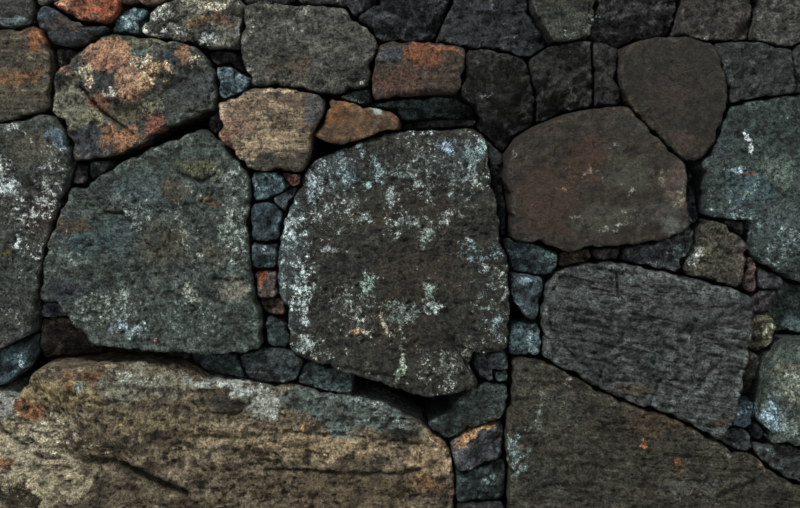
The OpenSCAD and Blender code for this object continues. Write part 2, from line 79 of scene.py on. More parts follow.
@dataclass(frozen=True)
class WallForm:
    """Sizes that the wall's faces follow, in metres."""

    base_half: float = 0.370
    top_half: float = 0.250
    body_h: float = 1.280
    height: float = 1.400
    half_len: float = 1.400
    core_base_half: float = 0.060
    core_top_half: float = 0.035

    def face(self, z: np.ndarray) -> np.ndarray:
        """Distance of the wall's face in front of the middle plane at height z."""
        return self.base_half - (self.base_half - self.top_half) * z / self.body_h

    def core(self, z: np.ndarray) -> np.ndarray:
        """Distance of the hearting's face in front of the middle plane at height z."""
        return self.core_base_half - (self.core_base_half - self.core_top_half) * z / self.body_h


FORM = WallForm()


def lattice(ix: np.ndarray, iy: np.ndarray, iz: np.ndarray, seed: int) -> np.ndarray:
    """Even random numbers for the points of a lattice.

    The three indices and the seed are multiplied by large odd numbers, added, and
    stirred by shifts and products that wrap round.

    Args:
        ix: First index of each point.
        iy: Second index of each point.
        iz: Third index of each point.
        seed: Number of the pattern.

    Returns:
        Whole numbers from 0 to 2**32 - 1, one for each point.
    """
    word = np.uint64(0xFFFFFFFF)
    with np.errstate(over="ignore"):
        h = (ix.astype(np.int64).astype(np.uint64) * np.uint64(0x9E3779B1)
             + iy.astype(np.int64).astype(np.uint64) * np.uint64(0x85EBCA77)
             + iz.astype(np.int64).astype(np.uint64) * np.uint64(0xC2B2AE3D)
             + np.uint64(seed % 100003) * np.uint64(0x27D4EB2F)) & word
        h = ((h ^ (h >> np.uint64(15))) * np.uint64(0x2C1B3C6D)) & word
        h = ((h ^ (h >> np.uint64(12))) * np.uint64(0x297A2D39)) & word
    return h ^ (h >> np.uint64(15))


def share(ix: np.ndarray, iy: np.ndarray, iz: np.ndarray, seed: int) -> np.ndarray:
    """The lattice numbers of the given points as shares from 0 to 1."""
    return lattice(ix, iy, iz, seed).astype(float) / 4294967295.0


def noise(points: np.ndarray, size: float, seed: int) -> np.ndarray:
    """Smooth gradient noise from about -1 to 1.

    At each corner of a point's cell stands a random direction; the values are its dot
    products with the way from the corner, blended by 6t^5 - 15t^4 + 10t^3.

    Args:
        points: Points, one in a row, with three columns.
        size: Edge of a cell in metres.
        seed: Number of the pattern.

    Returns:
        One value for each point.
    """
    spread = 1.6
    q = points / size
    cell = np.floor(q)
    f = q - cell
    w = f * f * f * (f * (f * 6 - 15) + 10)
    total = np.zeros(len(points))
    for corner in range(8):
        o = np.array([corner & 1, (corner >> 1) & 1, (corner >> 2) & 1])
        c = cell + o
        h = lattice(c[:, 0], c[:, 1], c[:, 2], seed)
        turn = (h & np.uint64(0xFFFF)).astype(float) * (2 * math.pi / 65536)
        rise = ((h >> np.uint64(16)) & np.uint64(0xFFFF)).astype(float) / 32768 - 1
        flat = np.sqrt(np.maximum(0.0, 1 - rise * rise))
        d = f - o
        dot = d[:, 0] * flat * np.cos(turn) + d[:, 1] * flat * np.sin(turn) + d[:, 2] * rise
        weight = np.prod(np.where(o == 1, w, 1 - w), axis=1)
        total += weight * dot
    return total * spread


def fractal(points: np.ndarray, size: float, seed: int, octaves: int,
            gain: float = 0.5) -> np.ndarray:
    """Sum of noises, each with half the cell and gain times the height of the last.

    Args:
        points: Points, one in a row, with three columns.
        size: Edge of the largest cell in metres.
        seed: Number of the pattern.
        octaves: How many noises are added.
        gain: Height of a noise over that of the one before.

    Returns:
        One value for each point.
    """
    total, height = np.zeros(len(points)), 1.0
    for k in range(octaves):
        total += height * noise(points, size / 2 ** k, seed + 17 * k)
        height *= gain
    return total


def ramp(x: np.ndarray, low: float, high: float) -> np.ndarray:
    """Smooth step: 0 below low, 1 above high, and 3t^2 - 2t^3 between."""
    t = np.clip((x - low) / (high - low), 0, 1)
    return t * t * (3 - 2 * t)


# Outlines of stones


@dataclass
class Outline:
    """Closed outline of a stone on the wall's face, seen from in front.

    The corners run anticlockwise round a centre from which the whole edge is seen.
    """

    corners: np.ndarray
    centre: np.ndarray
    axis: float = 0.0
    half: Tuple[float, float] = (0.1, 0.1)

    RAYS = 360
    RAY_BLOCK = 200
    POINT_BLOCK = 20000
    HALVINGS = 16
    HAIR = 1e-6
    EDGE_SLACK = 0.4 * MM
    LEAST_EDGE = 1.0 * MM

    @classmethod
    def ray_reach(cls, starts: np.ndarray, ends: np.ndarray, centre: np.ndarray,
                  turns: np.ndarray) -> np.ndarray:
        """Farthest crossing of each ray from the centre with a set of edges.

        For a ray in direction u and an edge from a to b, the crossing lies at
        cross(a, b - a) / cross(u, b - a), where both are taken from the centre.

        Args:
            starts: First ends of the edges.
            ends: Second ends of the edges.
            centre: Point from which the rays start.
            turns: Angle of each ray.

        Returns:
            The distance of the farthest crossing on each ray.
        """
        a, b = starts - centre, ends - centre
        best = np.zeros(len(turns))
        for k in range(0, len(turns), cls.RAY_BLOCK):
            block = turns[k:k + cls.RAY_BLOCK]
            u = np.stack([np.cos(block), np.sin(block)], 1)
            d = (b - a)[None]
            den = u[:, None, 0] * d[..., 1] - u[:, None, 1] * d[..., 0]
            with np.errstate(divide="ignore", invalid="ignore"):
                r = (a[None, :, 0] * d[..., 1] - a[None, :, 1] * d[..., 0]) / den
                t = (a[None, :, 0] * u[:, None, 1] - a[None, :, 1] * u[:, None, 0]) / den
            ok = (np.abs(den) > 1e-12) & (t >= -cls.HAIR) & (t <= 1 + cls.HAIR) & (r > 0)
            best[k:k + cls.RAY_BLOCK] = np.where(ok, r, 0).max(1)
        return best

    @classmethod
    def of_solid(cls, points: np.ndarray, triangles: np.ndarray) -> "Outline":
        """Finds the outline of a solid as it is seen along Y.

        The centre is moved three times to the middle of the area that its rays sweep.
        Vertices that lie as far out as the ray through them are the corners.

        Args:
            points: Vertices of the solid.
            triangles: Its faces, three vertex numbers each.

        Returns:
            The outline, with its longer axis and half-lengths set.
        """
        flat = points[:, [0, 2]]
        pairs = np.concatenate([triangles[:, [0, 1]], triangles[:, [1, 2]], triangles[:, [2, 0]]])
        pairs = np.unique(np.sort(pairs, axis=1), axis=0)
        starts, ends = flat[pairs[:, 0]], flat[pairs[:, 1]]
        turns = np.linspace(0, 2 * math.pi, cls.RAYS + 1)[:-1]
        centre = (flat.min(0) + flat.max(0)) / 2
        for _ in range(3):
            r = cls.ray_reach(starts, ends, centre, turns)
            p = centre + r[:, None] * np.stack([np.cos(turns), np.sin(turns)], 1)
            n = np.roll(p, -1, 0)
            c = p[:, 0] * n[:, 1] - n[:, 0] * p[:, 1]
            centre = ((p + n) * c[:, None]).sum(0) / (3 * c.sum())
        way = flat - centre
        angle = np.arctan2(way[:, 1], way[:, 0])
        reach = cls.ray_reach(starts, ends, centre, angle)
        edge = np.hypot(way[:, 0], way[:, 1]) >= reach - cls.EDGE_SLACK
        order = np.argsort(angle[edge])
        ring = flat[edge][order]
        gap = np.linalg.norm(ring - np.roll(ring, 1, 0), axis=1)
        made = cls(ring[gap > cls.LEAST_EDGE], centre)
        made.measure()
        return made

    def measure(self) -> None:
        """Sets the longer axis and the half-lengths along and across it.

        The axis is that of the greatest spread of points set evenly along the edges.
        """
        p, n = self.corners, np.roll(self.corners, -1, 0)
        parts = np.linspace(0, 1, 12)[None, :, None]
        line = (p[:, None] * (1 - parts) + n[:, None] * parts).reshape(-1, 2) - self.centre
        spread = line.T @ line
        self.axis = 0.5 * math.atan2(2 * spread[0, 1], spread[0, 0] - spread[1, 1])
        c, s = math.cos(self.axis), math.sin(self.axis)
        along, across = line @ np.array([c, s]), line @ np.array([-s, c])
        self.half = (float(np.abs(along).max()), float(np.abs(across).max()))

    def depth_inside(self, points: np.ndarray, soft: float) -> np.ndarray:
        """Distance from points to the edge, with the corners rounded.

        The distances d to all edges are joined as -soft * log(sum(exp(-d / soft))).

        Args:
            points: Points on the face, two columns.
            soft: Radius over which two edges blend.

        Returns:
            The blended distance of each point, in metres.
        """
        a, b = self.corners, np.roll(self.corners, -1, 0)
        d = b - a
        length = (d * d).sum(1)
        out = np.empty(len(points))
        for k in range(0, len(points), self.POINT_BLOCK):
            w = points[k:k + self.POINT_BLOCK, None] - a[None]
            t = np.clip((w * d[None]).sum(2) / length[None], 0, 1)
            gap = np.linalg.norm(w - t[..., None] * d[None], axis=2)
            least = gap.min(1)
            blend = np.log(np.exp(-(gap - least[:, None]) / soft).sum(1))
            out[k:k + self.POINT_BLOCK] = least - soft * blend
        return out

    def rim(self, turns: np.ndarray, inset: np.ndarray, soft: float) -> np.ndarray:
        """Distance from the centre to the edge moved inwards by inset.

        The crossing with the level of depth_inside is found by halving each ray's
        range again and again.

        Args:
            turns: Angle of each ray.
            inset: Distance of the rim from the outline on each ray.
            soft: Radius over which two edges blend.

        Returns:
            The distance of the rim on each ray.
        """
        full = self.reach(turns)
        u = np.stack([np.cos(turns), np.sin(turns)], 1)
        low, high = full * 0.3, full.copy()
        for _ in range(self.HALVINGS):
            mid = (low + high) / 2
            inside = self.depth_inside(self.centre + mid[:, None] * u, soft) > inset
            low, high = np.where(inside, mid, low), np.where(inside, high, mid)
        return (low + high) / 2

    def reach(self, turns: np.ndarray) -> np.ndarray:
        """Distance from the centre to the outline on each ray."""
        return self.ray_reach(self.corners, np.roll(self.corners, -1, 0), self.centre, turns)


# Looks of a stone


class Grain(Enum):
    """How a stone broke out of its bed."""

    MASSIVE = "massive"
    LAYERED = "layered"
    SMOOTH = "smooth"


GRIT = {Grain.MASSIVE: 1.15, Grain.LAYERED: 1.0, Grain.SMOOTH: 0.5}


@dataclass(frozen=True)
class Relief:
    """Shape of a stone's face, in millimetres and degrees; lean is a slope."""

    grain: Grain = Grain.MASSIVE
    facet: float = 120.0
    facet_depth: float = 9.0
    pitch: float = 22.0
    ledge: float = 3.0
    tilt: float = 0.0
    rough: float = 3.0
    arris: float = 14.0
    crown: float = 8.0
    flake: float = 2.0
    flake_size: float = 70.0
    lean: float = 0.04
    rib: float = 2.2


@dataclass(frozen=True)
class Patch:
    """A mark on the wall's face. Soft marks are stains, and a few are painted shade; crisp ones are
    lichen crusts.

    The centre and the radii are in millimetres, and the turn is in degrees.
    """

    x: float
    z: float
    rx: float
    rz: float
    colour: str
    strength: float = 1.0
    turn: float = 0.0
    crisp: bool = False

    def value(self, flat: np.ndarray) -> np.ndarray:
        """Strength of the patch at some points.

        It is 1 - (distance / radius) squared, times the patch's own strength, and
        never beyond -1 or 1.

        Args:
            flat: Points on the face, two columns, in millimetres.

        Returns:
            One value for each point, 0 at the patch's edge.
        """
        c, s = math.cos(math.radians(self.turn)), math.sin(math.radians(self.turn))
        w = flat - np.array([self.x, self.z])
        a, b = (w[:, 0] * c + w[:, 1] * s) / self.rx, (w[:, 1] * c - w[:, 0] * s) / self.rz
        return np.clip((1 - a * a - b * b) * self.strength, -1, 1)


@dataclass(frozen=True)
class Crack:
    """A groove or a step in a stone's face, along given points in millimetres."""

    line: Tuple[Tuple[float, float], ...]
    depth: float = 8.0
    width: float = 5.0
    step: float = 0.0

    def gap(self, flat: np.ndarray) -> Tuple[np.ndarray, np.ndarray]:
        """Distance of points from the line, and the side they lie on.

        Args:
            flat: Points on the face, two columns, in metres.

        Returns:
            The distance to the nearest piece, and the same with the sign of its side.
        """
        p = np.array(self.line) * MM
        best, side = np.full(len(flat), 9.0), np.zeros(len(flat))
        for a, b in zip(p[:-1], p[1:]):
            d = b - a
            w = flat - a
            t = np.clip(w @ d / (d @ d), 0, 1)
            gap = np.linalg.norm(w - t[:, None] * d, axis=1)
            cross = (d[0] * w[:, 1] - d[1] * w[:, 0]) / np.linalg.norm(d)
            here = np.where(np.abs(cross) > 1e-9, np.sign(cross) * gap, 0)
            side = np.where(gap < best, here, side)
            best = np.minimum(best, gap)
        return best, side


@dataclass(frozen=True)
class Dress:
    """Colours and marks of one stone."""

    main: str = "3f4242"
    second: str = "2c2f30"
    speck: float = 0.3
    speck_colour: str = "8f9a96"
    bands: float = 0.3
    patches: Tuple[Patch, ...] = ()
    cracks: Tuple[Crack, ...] = ()
    # Factor on both tones; above 1 it is painted light on stones that sit back in shade
    lift: float = 1.0


@dataclass(frozen=True)
class StoneLook:
    """A stone's relief and dress, for the stone whose middle is nearest to x, z."""

    x: float
    z: float
    dress: Dress
    relief: Relief = Relief()

    def away(self, x: float, z: float) -> float:
        """Distance of the look's place from another, in millimetres."""
        return math.hypot(self.x - x, self.z - z)


def facets(flat: np.ndarray, size: float, seed: int) -> np.ndarray:
    """Broken facets: planes of different slopes that meet in ridges.

    Each seed point of a jittered lattice carries a tilted plane lowered by the square
    of the distance; the surface is the highest of them, and the value is how far it
    lies below its own highest point.

    Args:
        flat: Points on the face, two columns.
        size: Usual width of a facet.
        seed: Number of the pattern.

    Returns:
        Depth of each point, from 0 to about 1.
    """
    lift_spread, slope, fall = 0.5, 1.9, 0.55
    q = flat / size
    cell = np.floor(q)
    zero = np.zeros(len(q))
    best = np.full(len(q), -9.0)
    for dx in (-1, 0, 1):
        for dz in (-1, 0, 1):
            cx, cz = cell[:, 0] + dx, cell[:, 1] + dz
            jx, jz, tx, tz, lift = [share(cx, cz, zero, seed + k) for k in range(5)]
            wx, wz = q[:, 0] - cx - jx, q[:, 1] - cz - jz
            tilted = slope * ((tx - 0.5) * wx + (tz - 0.5) * wz)
            best = np.maximum(best, lift * lift_spread + tilted - fall * (wx * wx + wz * wz))
    return best.max() - best


def ledges(along: np.ndarray, level: np.ndarray, pitch: float, seed: int) -> np.ndarray:
    """Steps between layers of rock, from 0 to 1, with a thin groove under each.

    The layer number is the floor of level / pitch, stretched by slow noise so that
    layers differ in thickness; each layer's depth is noise along it, blended to the
    next over the last sixth of the layer.

    Args:
        along: Distance along the layers, in metres.
        level: Height across the layers, in metres.
        pitch: Usual thickness of a layer, in metres.
        seed: Number of the pattern.

    Returns:
        Depth of each point, from 0 to about 1.2.
    """
    run, blend_from, groove_at, groove_width, groove_depth = 0.16, 0.82, 0.9, 0.07, 0.35
    zero = np.zeros(len(along))
    q = level / pitch
    q = q + 0.8 * noise(np.stack([zero, zero, q], 1), 1.9, seed)
    layer = np.floor(q)
    part = q - layer

    def depth(number: np.ndarray) -> np.ndarray:
        """Depth of a layer at each place along it.

        Args:
            number: Number of the layer at each place.

        Returns:
            Depths from 0 to 1.
        """
        start = 31.7 * share(number, zero, zero, seed + 5)
        way = np.stack([along / run + start, number * 3.31, zero], 1)
        own = share(number, zero, zero, seed + 9) - 0.5
        return np.clip(0.5 + 0.9 * noise(way, 1.0, seed + 6) + 0.6 * own, 0, 1)

    blend = ramp(part, blend_from, 1.0)
    groove = np.exp(-((part - groove_at) / groove_width) ** 2)
    groove = groove * share(layer, zero, zero, seed + 11)
    return depth(layer) * (1 - blend) + depth(layer + 1) * blend + groove_depth * groove


# One stone's mesh


@dataclass
class Shell:
    """Mesh parts of a stone: vertices, quads, triangles and values at the vertices."""

    points: np.ndarray
    quads: np.ndarray
    tris: np.ndarray
    values: Dict[str, np.ndarray] = field(default_factory=dict)


@dataclass(frozen=True)
class Joint:
    """How far a stone's rim stands back from its outline, in millimetres.

    The two shares are of the stone's smaller half-length, for small stones.
    """

    least: float = 1.2
    wander: float = 4.2
    bite: float = 1.8
    soft: float = 5.0
    clear: float = 0.4
    most_share: float = 0.25
    soft_share: float = 0.15


@dataclass(frozen=True)
class Face:
    """Grid over a stone's face, in the order of its vertices."""

    columns: int
    rows: int
    turns: np.ndarray
    part: np.ndarray

    def loop(self) -> np.ndarray:
        """Vertex numbers round the grid's edge, anticlockwise."""
        grid = np.arange(self.columns * self.rows).reshape(self.rows, self.columns)
        return np.concatenate([grid[0, :-1], grid[:-1, -1], grid[-1, :0:-1], grid[:0:-1, 0]])

    def quads(self) -> np.ndarray:
        """Faces of the grid.

        Returns:
            Four vertex numbers for each face.
        """
        grid = np.arange(self.columns * self.rows).reshape(self.rows, self.columns)
        corners = [grid[:-1, :-1], grid[:-1, 1:], grid[1:, 1:], grid[1:, :-1]]
        return np.stack(corners, -1).reshape(-1, 4)

    def soften(self, values: np.ndarray) -> np.ndarray:
        """Mean of the grid's values over windows of nine by nine, edges repeated.

        It is the difference of running sums at the corners of each window.

        Args:
            values: One value for each vertex.

        Returns:
            One mean for each vertex.
        """
        side = 9
        padded = np.pad(values.reshape(self.rows, self.columns), side // 2, mode="edge")
        total = np.cumsum(np.cumsum(np.pad(padded, ((1, 0), (1, 0))), 0), 1)
        whole = total[side:, side:] - total[:-side, side:]
        rest = total[side:, :-side] - total[:-side, :-side]
        return ((whole - rest) / side ** 2).ravel()


@dataclass
class Stone:
    """One stone of the wall, worked out from the outline of its solid."""

    outline: Outline
    front_gap: float
    depth: float
    look: StoneLook
    seed: int
    cell: float
    through: bool = False
    joint: Joint = Joint()

    # Grid cells below this size get all octaves of the noise
    COARSE_CELL = 5 * MM
    # Cells of the noises, in metres
    WARP_SIZE = 0.09
    BEND_SIZE = 0.07
    BODY_SIZE = 0.055
    FINE_SIZE = 0.020
    PIT_SIZE = 0.013
    RIB_SIZE = 0.012
    ARRIS_SIZE = 0.04
    RIM_SIZE = 0.06
    BITE_SIZE = 0.05
    PATCH_SIZE = 0.05
    SIDE_SIZE = 0.09
    # Shares of the relief's crown and arris that the surface takes, the share of the
    # way to the rim from which the crown falls, and the power of the rounded arris
    CROWN_SHARE = 0.4
    CROWN_FALL = (0.7, 1.05)
    ARRIS_SHARE = 0.42
    ARRIS_POWER = 1.8
    ARRIS_FALL = 0.9
    # Deepest facet, in depths of a facet, and shares of the roughness
    DEEPEST_FACET = 1.4
    BODY_SHARE = 1.6
    FINE_SHARE = 1.5
    PIT_SHARE = 0.7
    # How much longer ribs are than wide, and how many terraces flakes have
    RIB_LENGTH = 3.6
    TERRACES = 3.2
    TERRACE_SLOPE = (0.72, 1.0)
    # How far slow noise moves facets, layers, ribs, flakes, cracks and, in millimetres,
    # patches
    FACET_WARP = 14 * MM
    LAYER_WARP = 4 * MM
    RIB_WARP = 5 * MM
    FLAKE_WARP = 6 * MM
    CRACK_WARP = 1.5 * MM
    PATCH_WARP_MM = 15.0
    # A crack's step rises over this distance, and fades away over the other
    STEP_RISE = 3 * MM
    STEP_FADE = 0.05
    # Each ring behind the rim: its share of the way back, and of the way out
    BANDS = ((0.10, 0.0), (0.26, 0.25), (0.40, 1.0), (0.80, 1.0))
    FULL_SHARE = 0.9995
    TAIL_SHARE = 0.84
    # Wear of a through stone's sides, the gap that they keep to the outline, and how far
    # from the rim they count
    SIDE_WEAR = 9 * MM
    SIDE_FACET = 0.13
    SIDE_FACET_DEPTH = 5 * MM
    SIDE_CLEAR = 0.5 * MM
    SIDE_INSIDE = 0.03
    # Width of the rim lightened as wear and painted highlight, and a depth that counts as hollow
    EDGE_WIDTH = 0.011
    HOLLOW_DEPTH = 4 * MM

    def sheet(self) -> Face:
        """Grid of directions and shares over the face.

        Points of a rectangle along the outline's axes keep their direction from the
        centre, and their share of the way to the rectangle's edge is their share of
        the way to the rim.

        Returns:
            The grid, with the angle and the share of each vertex.
        """
        a, b = self.outline.half
        columns = 2 * max(3, math.ceil(a / self.cell)) + 1
        rows = 2 * max(3, math.ceil(b / self.cell)) + 1
        u, v = np.meshgrid(np.linspace(-1, 1, columns), np.linspace(-1, 1, rows))
        turns = np.arctan2(v * b, u * a) + self.outline.axis
        return Face(columns, rows, turns.ravel(), np.maximum(np.abs(u), np.abs(v)).ravel())

    def bedding(self, flat: np.ndarray, warp: np.ndarray) -> Tuple[np.ndarray, np.ndarray]:
        """Places with respect to the stone's tilted layers.

        Args:
            flat: Points on the face, two columns.
            warp: Slow noise at the points, which bends the layers.

        Returns:
            Distance along the layers, and height across them.
        """
        tilt = math.radians(self.look.relief.tilt)
        along = flat[:, 0] * math.cos(tilt) + flat[:, 1] * math.sin(tilt)
        level = -flat[:, 0] * math.sin(tilt) + flat[:, 1] * math.cos(tilt)
        return along, level + warp * self.LAYER_WARP

    def broken(self, points: np.ndarray, part: np.ndarray, warp: np.ndarray) -> np.ndarray:
        """Depth of the large breaks of the face.

        It is a crown that falls near the rim, a lean of the whole face to one side,
        facets whose places are bent by noise, and ledges along the layers.

        Args:
            points: Points before they are moved, three columns.
            part: Share of the way from the centre to the rim.
            warp: Slow noise at the points.

        Returns:
            Depths in metres.
        """
        r, flat, seed = self.look.relief, points[:, [0, 2]], self.seed
        depth = r.crown * self.CROWN_SHARE * MM * ramp(part, *self.CROWN_FALL)
        draw = share(np.array([seed] * 2), np.array([1, 2]), np.array([0, 0]), 77)
        slope = (flat - self.outline.centre) @ ((draw - 0.5) * 2 * r.lean)
        depth += slope - slope.min()
        bend = np.stack([warp, fractal(points, self.BEND_SIZE, seed + 4, 2)], 1)
        broken = facets(flat + bend * self.FACET_WARP, r.facet * MM, seed)
        depth += r.facet_depth * MM * np.minimum(self.DEEPEST_FACET, broken)
        if r.ledge > 0:
            along, level = self.bedding(flat, warp)
            depth += r.ledge * MM * ledges(along, level, r.pitch * MM, seed + 21)
        return depth

    def worn(self, points: np.ndarray, warp: np.ndarray) -> np.ndarray:
        """Depth of the weathered surface of the face.

        It is fractal noise, fine ridges, pits, ribs along the layers of layered
        stones, and flakes: terraces of a noise's whole numbers with short slopes.

        Args:
            points: Points before they are moved, three columns.
            warp: Slow noise at the points.

        Returns:
            Depths in metres.
        """
        r, seed = self.look.relief, self.seed
        near = self.cell < self.COARSE_CELL
        body = 0.5 + 0.5 * fractal(points, self.BODY_SIZE, seed + 40, 4 if near else 3, 0.55)
        fine = 1 - np.abs(fractal(points, self.FINE_SIZE, seed + 60, 3 if near else 1, 0.6))
        pits = ramp(noise(points, self.PIT_SIZE, seed + 80), 0.45, 0.8)
        depth = r.rough * MM * (
            self.BODY_SHARE * body + self.FINE_SHARE * (1 - fine) + self.PIT_SHARE * pits)
        if r.grain is Grain.LAYERED:
            along, level = self.bedding(points[:, [0, 2]], warp)
            waved = level + warp * self.RIB_WARP
            combed = np.stack([along / self.RIB_LENGTH, points[:, 1], waved], 1)
            crests = np.abs(fractal(combed, self.RIB_SIZE, seed + 44, 2, 0.6))
            ribs = 1 - np.minimum(1, 1.6 * crests)
            depth += r.rib * MM * (1 - ribs)
        bent = points + np.stack([warp, warp * 0.4, -warp], 1) * self.FLAKE_WARP
        chips = self.TERRACES * fractal(bent, r.flake_size * MM, seed + 70, 5, 0.58)
        terrace = np.floor(chips)
        slope = ramp(chips - terrace, *self.TERRACE_SLOPE)
        return depth + r.flake * MM * (3 + terrace + slope)

    def relief(self, points: np.ndarray, inside: np.ndarray, part: np.ndarray) -> np.ndarray:
        """How far the worn surface lies behind the stone's front plane.

        It is the sum of the breaks, the wear, the cracks and a rounded arris, in which
        (1 - inside / arris) is raised to a power. A crack is a groove with the profile
        of a bell, and a step on one side that fades away from it.

        Args:
            points: Points before they are moved, three columns.
            inside: Distance of each from the rim.
            part: Share of the way from the centre to the rim.

        Returns:
            Depths in metres, never below zero.
        """
        flat, seed = points[:, [0, 2]], self.seed
        warp = fractal(points, self.WARP_SIZE, seed + 3, 2)
        depth = self.broken(points, part, warp) + self.worn(points, warp)
        for crack in self.look.dress.cracks:
            gap, side = crack.gap(flat + self.CRACK_WARP * np.stack([warp, -warp], 1))
            depth += crack.depth * MM * np.exp(-(gap / (crack.width * MM)) ** 2)
            step = ramp(side, -self.STEP_RISE, self.STEP_RISE)
            depth += crack.step * MM * step * np.exp(-gap / self.STEP_FADE)
        uneven = 0.7 + 1.6 * np.clip(noise(points, self.ARRIS_SIZE, seed + 90) + 0.2, 0, 1)
        arris = self.look.relief.arris * self.ARRIS_SHARE * MM * uneven
        round_off = np.clip(1 - inside / arris, 0, 1) ** self.ARRIS_POWER
        return np.maximum(0, depth) + round_off * arris * self.ARRIS_FALL

    def plane(self, z: np.ndarray) -> np.ndarray:
        """Y of the stone's front plane, which never stands beyond the wall's foot."""
        front = -FORM.face(np.minimum(z, FORM.body_h)) + self.front_gap
        return np.maximum(-FORM.base_half, front)

    def marks(self, points: np.ndarray, hollow: np.ndarray,
              inside: np.ndarray) -> Dict[str, np.ndarray]:
        """Values that the finish reads at each vertex.

        The places are bent by noise before the patches are laid on; where patches of
        one kind meet, the highest value gives the colour.

        Args:
            points: Vertices of the stone.
            hollow: Depth of each below its smooth surroundings.
            inside: Distance of each from the rim.

        Returns:
            Names and values of the attributes.
        """
        dress, r = self.look.dress, self.look.relief
        n = len(points)
        flat = points[:, [0, 2]] / MM
        bent = flat + self.PATCH_WARP_MM * np.stack(
            [fractal(points, self.PATCH_SIZE, self.seed + k, 4, 0.6) for k in (31, 32)], 1)
        tilt = math.radians(r.tilt)
        values = {
            "tint": np.tile(np.array(tone(dress.main)) * dress.lift, (n, 1)),
            "under": np.tile(np.array(tone(dress.second)) * dress.lift, (n, 1)),
            "dot": np.tile(tone(dress.speck_colour), (n, 1)),
            "layer": (-flat[:, 0] * math.sin(tilt) + flat[:, 1] * math.cos(tilt)) * MM,
            "speck": np.full(n, dress.speck),
            "bands": np.full(n, dress.bands),
            "grain": np.full(n, GRIT[r.grain]),
            "hollow": hollow,
            # Nearness to the rim, lightened in the finish as wear and painted highlight
            "edge": np.where(inside > 0, np.clip(1.2 - inside / self.EDGE_WIDTH, 0, 1), 0),
        }
        for name, crisp in (("stain_and_shade", False), ("lichen", True)):
            best = np.full(n, -1.0)
            colour = np.tile(tone(dress.second), (n, 1))
            for patch in dress.patches:
                if patch.crisp == crisp:
                    value = patch.value(bent)
                    colour[value > best] = tone(patch.colour)
                    best = np.maximum(best, value)
            values[name] = best
            values[name + "_tint"] = colour
        return values

    def inset(self, edge: np.ndarray) -> np.ndarray:
        """How far the rim stands back from the outline: wavy, with a few deeper bites.

        Args:
            edge: Points of the outline, two columns.

        Returns:
            The distance at each point, at most a quarter of the stone's half-height.
        """
        place = np.stack([edge[:, 0], np.zeros(len(edge)), edge[:, 1]], 1)
        wander = np.abs(fractal(place, self.RIM_SIZE, self.seed + 7, 4, 0.62))
        bite = ramp(noise(place, self.BITE_SIZE, self.seed + 8), 0.40, 0.46)
        j = self.joint
        inset = (j.least + j.wander * np.clip(wander, 0, 1.2) + j.bite * bite) * MM
        return np.minimum(inset, float(min(self.outline.half)) * j.most_share)

    def build(self) -> Shell:
        """Works out the closed mesh of the stone.

        The face grid lies inside a rim that stands back from the outline by half a
        joint with noise; bands carry the rim back to the full outline and on to the
        tail, which a fan closes. A through stone has a second face grid instead.

        Returns:
            The mesh parts and the values at the vertices.
        """
        o, grid = self.outline, self.sheet()
        u = np.stack([np.cos(grid.turns), np.sin(grid.turns)], 1)
        ring = grid.loop()
        edge = o.centre + o.reach(grid.turns[ring])[:, None] * u[ring]
        inset = self.inset(edge)
        soft = min(self.joint.soft * MM, float(min(o.half)) * self.joint.soft_share)
        rim = o.rim(grid.turns[ring], inset, soft)
        full_turn = 2 * math.pi
        turns, rim_turns = np.mod(grid.turns, full_turn), np.mod(grid.turns[ring], full_turn)
        order = np.argsort(rim_turns)
        reach = np.interp(turns, rim_turns[order], rim[order], period=full_turn)
        reach[ring] = rim
        flat = o.centre + (grid.part * reach)[:, None] * u
        base = np.stack([flat[:, 0], self.plane(flat[:, 1]), flat[:, 1]], 1)
        far_inset = np.interp(turns, rim_turns[order], inset[order], period=full_turn)
        inside = np.maximum(0, o.depth_inside(flat, soft) - far_inset)
        inside[ring] = 0
        depth = self.relief(base, inside, grid.part)
        face = base.copy()
        face[:, 1] += depth
        hollow = np.clip((depth - grid.soften(depth)) / self.HOLLOW_DEPTH, -1, 1)
        behind = self.through_rings if self.through else self.bands
        return self.join(grid, face, behind(face[ring], edge, u[ring]), hollow, inside)

    def bands(self, rim: np.ndarray, edge: np.ndarray, u: np.ndarray) -> List[np.ndarray]:
        """Rings that carry the rim back, out to the full outline, then in to the tail.

        Args:
            rim: Vertices of the face grid's edge.
            edge: Points of the outline in the same directions.
            u: Those directions.

        Returns:
            The rings from front to back.
        """
        c = self.outline.centre
        front, back = rim[:, 1], self.tail(edge[:, 1])
        full = c + (edge - c) * self.FULL_SHARE - u * self.joint.clear * MM
        made: List[np.ndarray] = []
        for share_back, width in self.BANDS:
            p = rim[:, [0, 2]] * (1 - width) + full * width
            made.append(np.stack([p[:, 0], front + (back - front) * share_back, p[:, 1]], 1))
        tail = c + (edge - c) * self.TAIL_SHARE
        made.append(np.stack([tail[:, 0], self.tail(tail[:, 1]), tail[:, 1]], 1))
        return made

